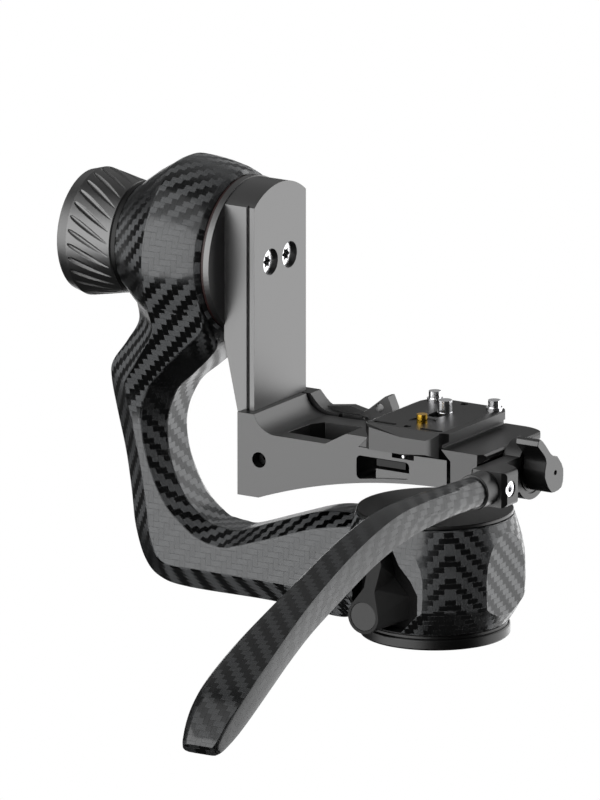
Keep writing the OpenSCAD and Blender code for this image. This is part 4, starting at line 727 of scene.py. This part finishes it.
def housingWeave(point, angle, length, middle):
    x, y, z = point
    right, front, rear = facets["angles"]
    if abs(middle - right) < facets["edge"]:
        across = -y
    elif abs(middle - front) < facets["edge"]:
        across = x
    elif abs(middle - rear) < facets["edge"]:
        across = -x
    elif front < middle < right:
        across = -abs(angle - math.radians(housing["seam"])) * housing["clothRadius"]
    else:
        across = angle * housing["clothRadius"]
    return (across * housing["cloth"], z * housing["cloth"])


points, faces, weave = turned(housingRows(), housingAngles(), housingPlace, housingWeave, facets, True)
housingPiece = wovenPiece("carbonHousing", points, faces, weave, housing["sharp"])

# the lock's pocket, cut into the front; outline in shares of the lock's reach
pocket = {
    "reach": 28.0, "centre": (-13.0, 14.0), "front": 45, "floor": 24.6,
    "outline": [
        (-0.36, -0.5), (0.5, -0.5), (0.55, -0.25), (0.66, -0.15), (0.945, 0.12), (0.95, 0.45), (0.82, 0.67),
        (0.6, 0.9), (0.45, 1.2), (-0.1, 1.24), (-0.36, 0.9)],
}


def cutPocket():
    centreX, centreZ = pocket["centre"]
    outline = [(centreX + u * pocket["reach"], centreZ + v * pocket["reach"]) for u, v in pocket["outline"]]
    count = len(outline)
    points = [(x, -depth, z) for depth in (pocket["front"], pocket["floor"]) for x, z in outline]
    faces = [tuple(range(count)), tuple(range(2 * count - 1, count - 1, -1))]
    faces += [(i, i + count, (i + 1) % count + count, (i + 1) % count) for i in range(count)]
    mesh = newMesh("pocketCutter", points, faces)
    mesh.uv_layers.new(name="weave")
    # the cutter's faces pass their painted shade on to the pocket's walls and floor
    mesh.materials.append(paintedPocketShade)
    pointOutwards(mesh)
    cutter = newPiece("pocketCutter", mesh)
    housingPiece.data.materials.append(paintedPocketShade)
    cut = housingPiece.modifiers.new("pocket", "BOOLEAN")
    cut.operation = "DIFFERENCE"
    cut.solver = "EXACT"
    cut.object = cutter
    cut.material_mode = "TRANSFER"
    keepPlainMesh(housingPiece)
    bpy.data.objects.remove(cutter)
    housingPiece.data.set_sharp_from_angle(angle=math.radians(housing["sharp"]))


cutPocket()
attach(housingPiece, "pan")
print("stage: carbon frame made")

# the handle's blade: a round neck that flattens to a blade with crisp top edges
blade = {
    "centre": 50.05, "height": 82.0, "steps": 5, "drift": 1.0, "start": 49.3, "run": 226.7, "shorter": 2.0,
    "foldCorner": 5, "sharp": 27,
    "stations": [  # y, rise, width, thickness, 0 round to 1 flat, how far it stands to the side
        (-49.5, 0, 14, 14, 0, 0), (-64, 0.6, 14.3, 14, 0.15, 0), (-80, 1.3, 15, 14, 0.4, 0),
        (-104, 1, 15.2, 14.5, 0.75, 0.4), (-123, -0.6, 16.3, 15, 1, 0.9), (-143, -5.1, 17.1, 15.3, 1, 1.4),
        (-163, -11.3, 18, 15.5, 1, 1.7), (-184, -18.5, 19.5, 15, 1, 1.7), (-203, -24.9, 22, 14, 1, 1.5),
        (-222, -32.6, 25.2, 13.2, 1, 1.4), (-238, -40.1, 27.4, 13, 1, 1.3), (-251, -47.1, 28, 13, 1, 1.3),
        (-260.4, -53.3, 26.5, 13, 1, 1.3), (-267.5, -58.6, 23.8, 12, 1, 1.1), (-274, -63.8, 20, 8.5, 1, 0.6),
        (-277.2, -66, 16.5, 5.5, 1, 0.4)],
    "section": [  # shares of half the width and half the thickness
        (1, -0.1), (0.995, 0.4), (0.985, 0.9), (0.965, 0.985), (0.6, 1), (0.2, 1), (-0.2, 1), (-0.5, 0.98),
        (-0.66, 0.86), (-0.86, 0.55), (-0.98, 0.15), (-1, -0.25), (-0.93, -0.7), (-0.75, -0.94), (-0.4, -1),
        (0, -1), (0.4, -1), (0.75, -0.97), (0.95, -0.85), (0.99, -0.5)],
}


def bladeRings():
    rows = spline(blade["stations"], blade["steps"])
    rings = []
    for i, (y, z, width, thick, flatness, aside) in enumerate(rows):
        a, b = rows[max(i - 1, 0)], rows[min(i + 1, len(rows) - 1)]
        way = Vector((0, a[0] - b[0], a[1] - b[1])).normalized()
        up = Vector((0, -way.z, way.y))
        flat = max(0.0, min(1.0, flatness))
        gone = (-y - blade["start"]) / blade["run"]
        x = blade["centre"] - blade["drift"] * gone * gone - aside
        middle = Vector((x, y + blade["shorter"] * gone, blade["height"] + z))
        ring = []
        for u, v in blade["section"]:
            size = math.hypot(u, v)
            su = u * flat + u / size * (1 - flat)
            sv = v * flat + v / size * (1 - flat)
            ring.append(middle + Vector((width / 2 * su, 0, 0)) + up * (thick / 2 * sv))
        rings.append(ring)
    return rings


def makeBlade():
    rings = bladeRings()
    size = len(blade["section"])
    travel = ringTravel(rings)
    girth = []
    for ring in rings:
        lengths = [0.0]
        for j in range(size):
            lengths.append(lengths[-1] + (ring[(j + 1) % size] - ring[j]).length)
        girth.append([lengths[blade["foldCorner"]] - value for value in lengths])
    points = [tuple(p) for ring in rings for p in ring]
    faces, weave = [], []
    for i in range(len(rings) - 1):
        for j in range(size):
            k = (j + 1) % size
            faces.append((i * size + j, i * size + k, (i + 1) * size + k, (i + 1) * size + j))
            weave.append([
                (girth[i][j], travel[i]), (girth[i][j + 1], travel[i]),
                (girth[i + 1][j + 1], travel[i + 1]), (girth[i + 1][j], travel[i + 1])])
    for end, order in ((0, range(size - 1, -1, -1)), (len(rings) - 1, range(size))):
        faces.append(tuple(end * size + j for j in order))
        weave.append([(points[end * size + j][0], points[end * size + j][2]) for j in order])
    return wovenPiece("carbonBlade", points, faces, weave, blade["sharp"])


bladePiece = makeBlade()
bladePiece.data.materials[0] = bladeCarbon
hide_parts("handle_blade")
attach(bladePiece, "handle")
for piece in (armPiece, hubPiece, housingPiece, bladePiece):
    pointOutwards(piece.data)
print("stage: handle made")

# a long lens far away, and soft boxes: left and right ones that the metal mirrors, weaker ones around
studio = {
    "tilt": 14.5, "turn": 32.0, "pixelsPerMm": 2.24,
    "originPixel": (435.0, 631.5), "framePixels": (600, 800),
    "lens": 1200.0, "sensor": 36.0, "clip": (1.0, 60.0), "aim": (-0.06, -0.06, 0.1),
    "ambientGrey": 0.5, "ambient": 0.6, "mirrored": 0.045,
    "floorSize": 8.0, "floorGrey": 0.9, "floorRoughness": 0.9,
    "boxes": [  # name, direction from the object, distance, width, height, brightness
        ("leftBox", (-0.44, -0.89, 0.12), 2.0, 3.8, 2.6, 3.1),
        ("upperBox", (-0.3, -0.6, 1.0), 2.0, 3.4, 1.1, 0.9),
        ("rightBox", (0.47, 0.88, -0.08), 2.0, 3.0, 3.2, 2.4),
        ("rearBox", (-0.4, 0.86, -0.3), 2.0, 1.5, 1.2, 2.2),
        ("backBox", (-0.45, 0.62, 0.65), 2.0, 2.2, 2.2, 0.3),
    ],
}
scene = bpy.context.scene
scene.view_settings.view_transform = "Standard"
plainWhite = (1, 1, 1, 1)


def makeCamera():
    turn, tilt = math.radians(studio["turn"]), math.radians(studio["tilt"])
    right = Vector((math.cos(turn), math.sin(turn), 0))
    up = Vector((-math.sin(turn) * math.sin(tilt), math.cos(turn) * math.sin(tilt), math.cos(tilt)))
    back = right.cross(up)
    scale = studio["pixelsPerMm"] / mm
    width, height = studio["framePixels"]
    originX, originY = studio["originPixel"]
    centre = right * ((width / 2 - originX) / scale) + up * ((originY - height / 2) / scale)
    distance = height / scale * studio["lens"] / studio["sensor"]
    data = bpy.data.cameras.new("camera")
    data.lens = studio["lens"]
    data.sensor_width = studio["sensor"]
    data.clip_start, data.clip_end = studio["clip"]
    camera = newPiece("camera", data)
    camera.location = centre + back * distance
    camera.rotation_mode = "QUATERNION"
    camera.rotation_quaternion = back.to_track_quat("Z", "Y")
    scene.camera = camera


# white behind the object, dim in mirrored light, so that the metal shows the boxes
def makeWorld():
    world = bpy.data.worlds.new("studioWorld")
    scene.world = world
    world.use_nodes = True
    tree = world.node_tree
    tree.nodes.clear()
    path = addNode(tree, "ShaderNodeLightPath").outputs
    grey = (studio["ambientGrey"],) * 3 + (1,)
    ambient = addNode(tree, "ShaderNodeBackground", None, {"Color": grey, "Strength": studio["ambient"]})
    dim = addNode(tree, "ShaderNodeBackground", None, {"Color": plainWhite, "Strength": studio["mirrored"]})
    white = addNode(tree, "ShaderNodeBackground", None, {"Color": plainWhite, "Strength": 1.0})
    mirrored = addNode(tree, "ShaderNodeMath", {"operation": "MAXIMUM"}, {
        0: path["Is Glossy Ray"], 1: path["Is Transmission Ray"]})
    lit = addNode(tree, "ShaderNodeMixShader", None, {0: mirrored, 1: ambient, 2: dim})
    seen = addNode(tree, "ShaderNodeMixShader", None, {0: path["Is Camera Ray"], 1: lit, 2: white})
    addNode(tree, "ShaderNodeOutputWorld", None, {"Surface": seen})


def makeLamps():
    aim = Vector(studio["aim"])
    for name, direction, far, width, height, brightness in studio["boxes"]:
        light = bpy.data.lights.new(name, "AREA")
        light.shape = "RECTANGLE"
        light.size = width
        light.size_y = height
        light.energy = brightness * math.pi * width * height
        lamp = newPiece(name, light)
        way = Vector(direction).normalized()
        lamp.location = aim + way * far
        lamp.rotation_mode = "QUATERNION"
        lamp.rotation_quaternion = way.to_track_quat("Z", "Y")
        lamp.visible_camera = False


# pale floor: white to the camera, and clear to mirrored light, so that the boxes show from below
def makeFloor():
    half = studio["floorSize"] / 2
    mesh = bpy.data.meshes.new("floor")
    corners = [(-half, -half, 0), (half, -half, 0), (half, half, 0), (-half, half, 0)]
    mesh.from_pydata(corners, [], [(0, 1, 2, 3)])
    floor = newPiece("floor", mesh)
    material, tree, shader = newMaterial("paleFloor")
    grey = (studio["floorGrey"],) * 3 + (1,)
    fillInputs(tree, shader, {"Base Color": grey, "Roughness": studio["floorRoughness"]})
    path = addNode(tree, "ShaderNodeLightPath").outputs
    glow = addNode(tree, "ShaderNodeEmission", None, {"Color": plainWhite, "Strength": 1.0})
    clear = addNode(tree, "ShaderNodeBsdfTransparent")
    seen = addNode(tree, "ShaderNodeMixShader", None, {0: path["Is Camera Ray"], 1: shader, 2: glow})
    full = addNode(tree, "ShaderNodeMixShader", None, {0: path["Is Glossy Ray"], 1: seen, 2: clear})
    fillInputs(tree, tree.nodes["Material Output"], {"Surface": full})
    mesh.materials.append(material)


makeCamera()
makeWorld()
makeLamps()
makeFloor()
print("stage: studio ready")
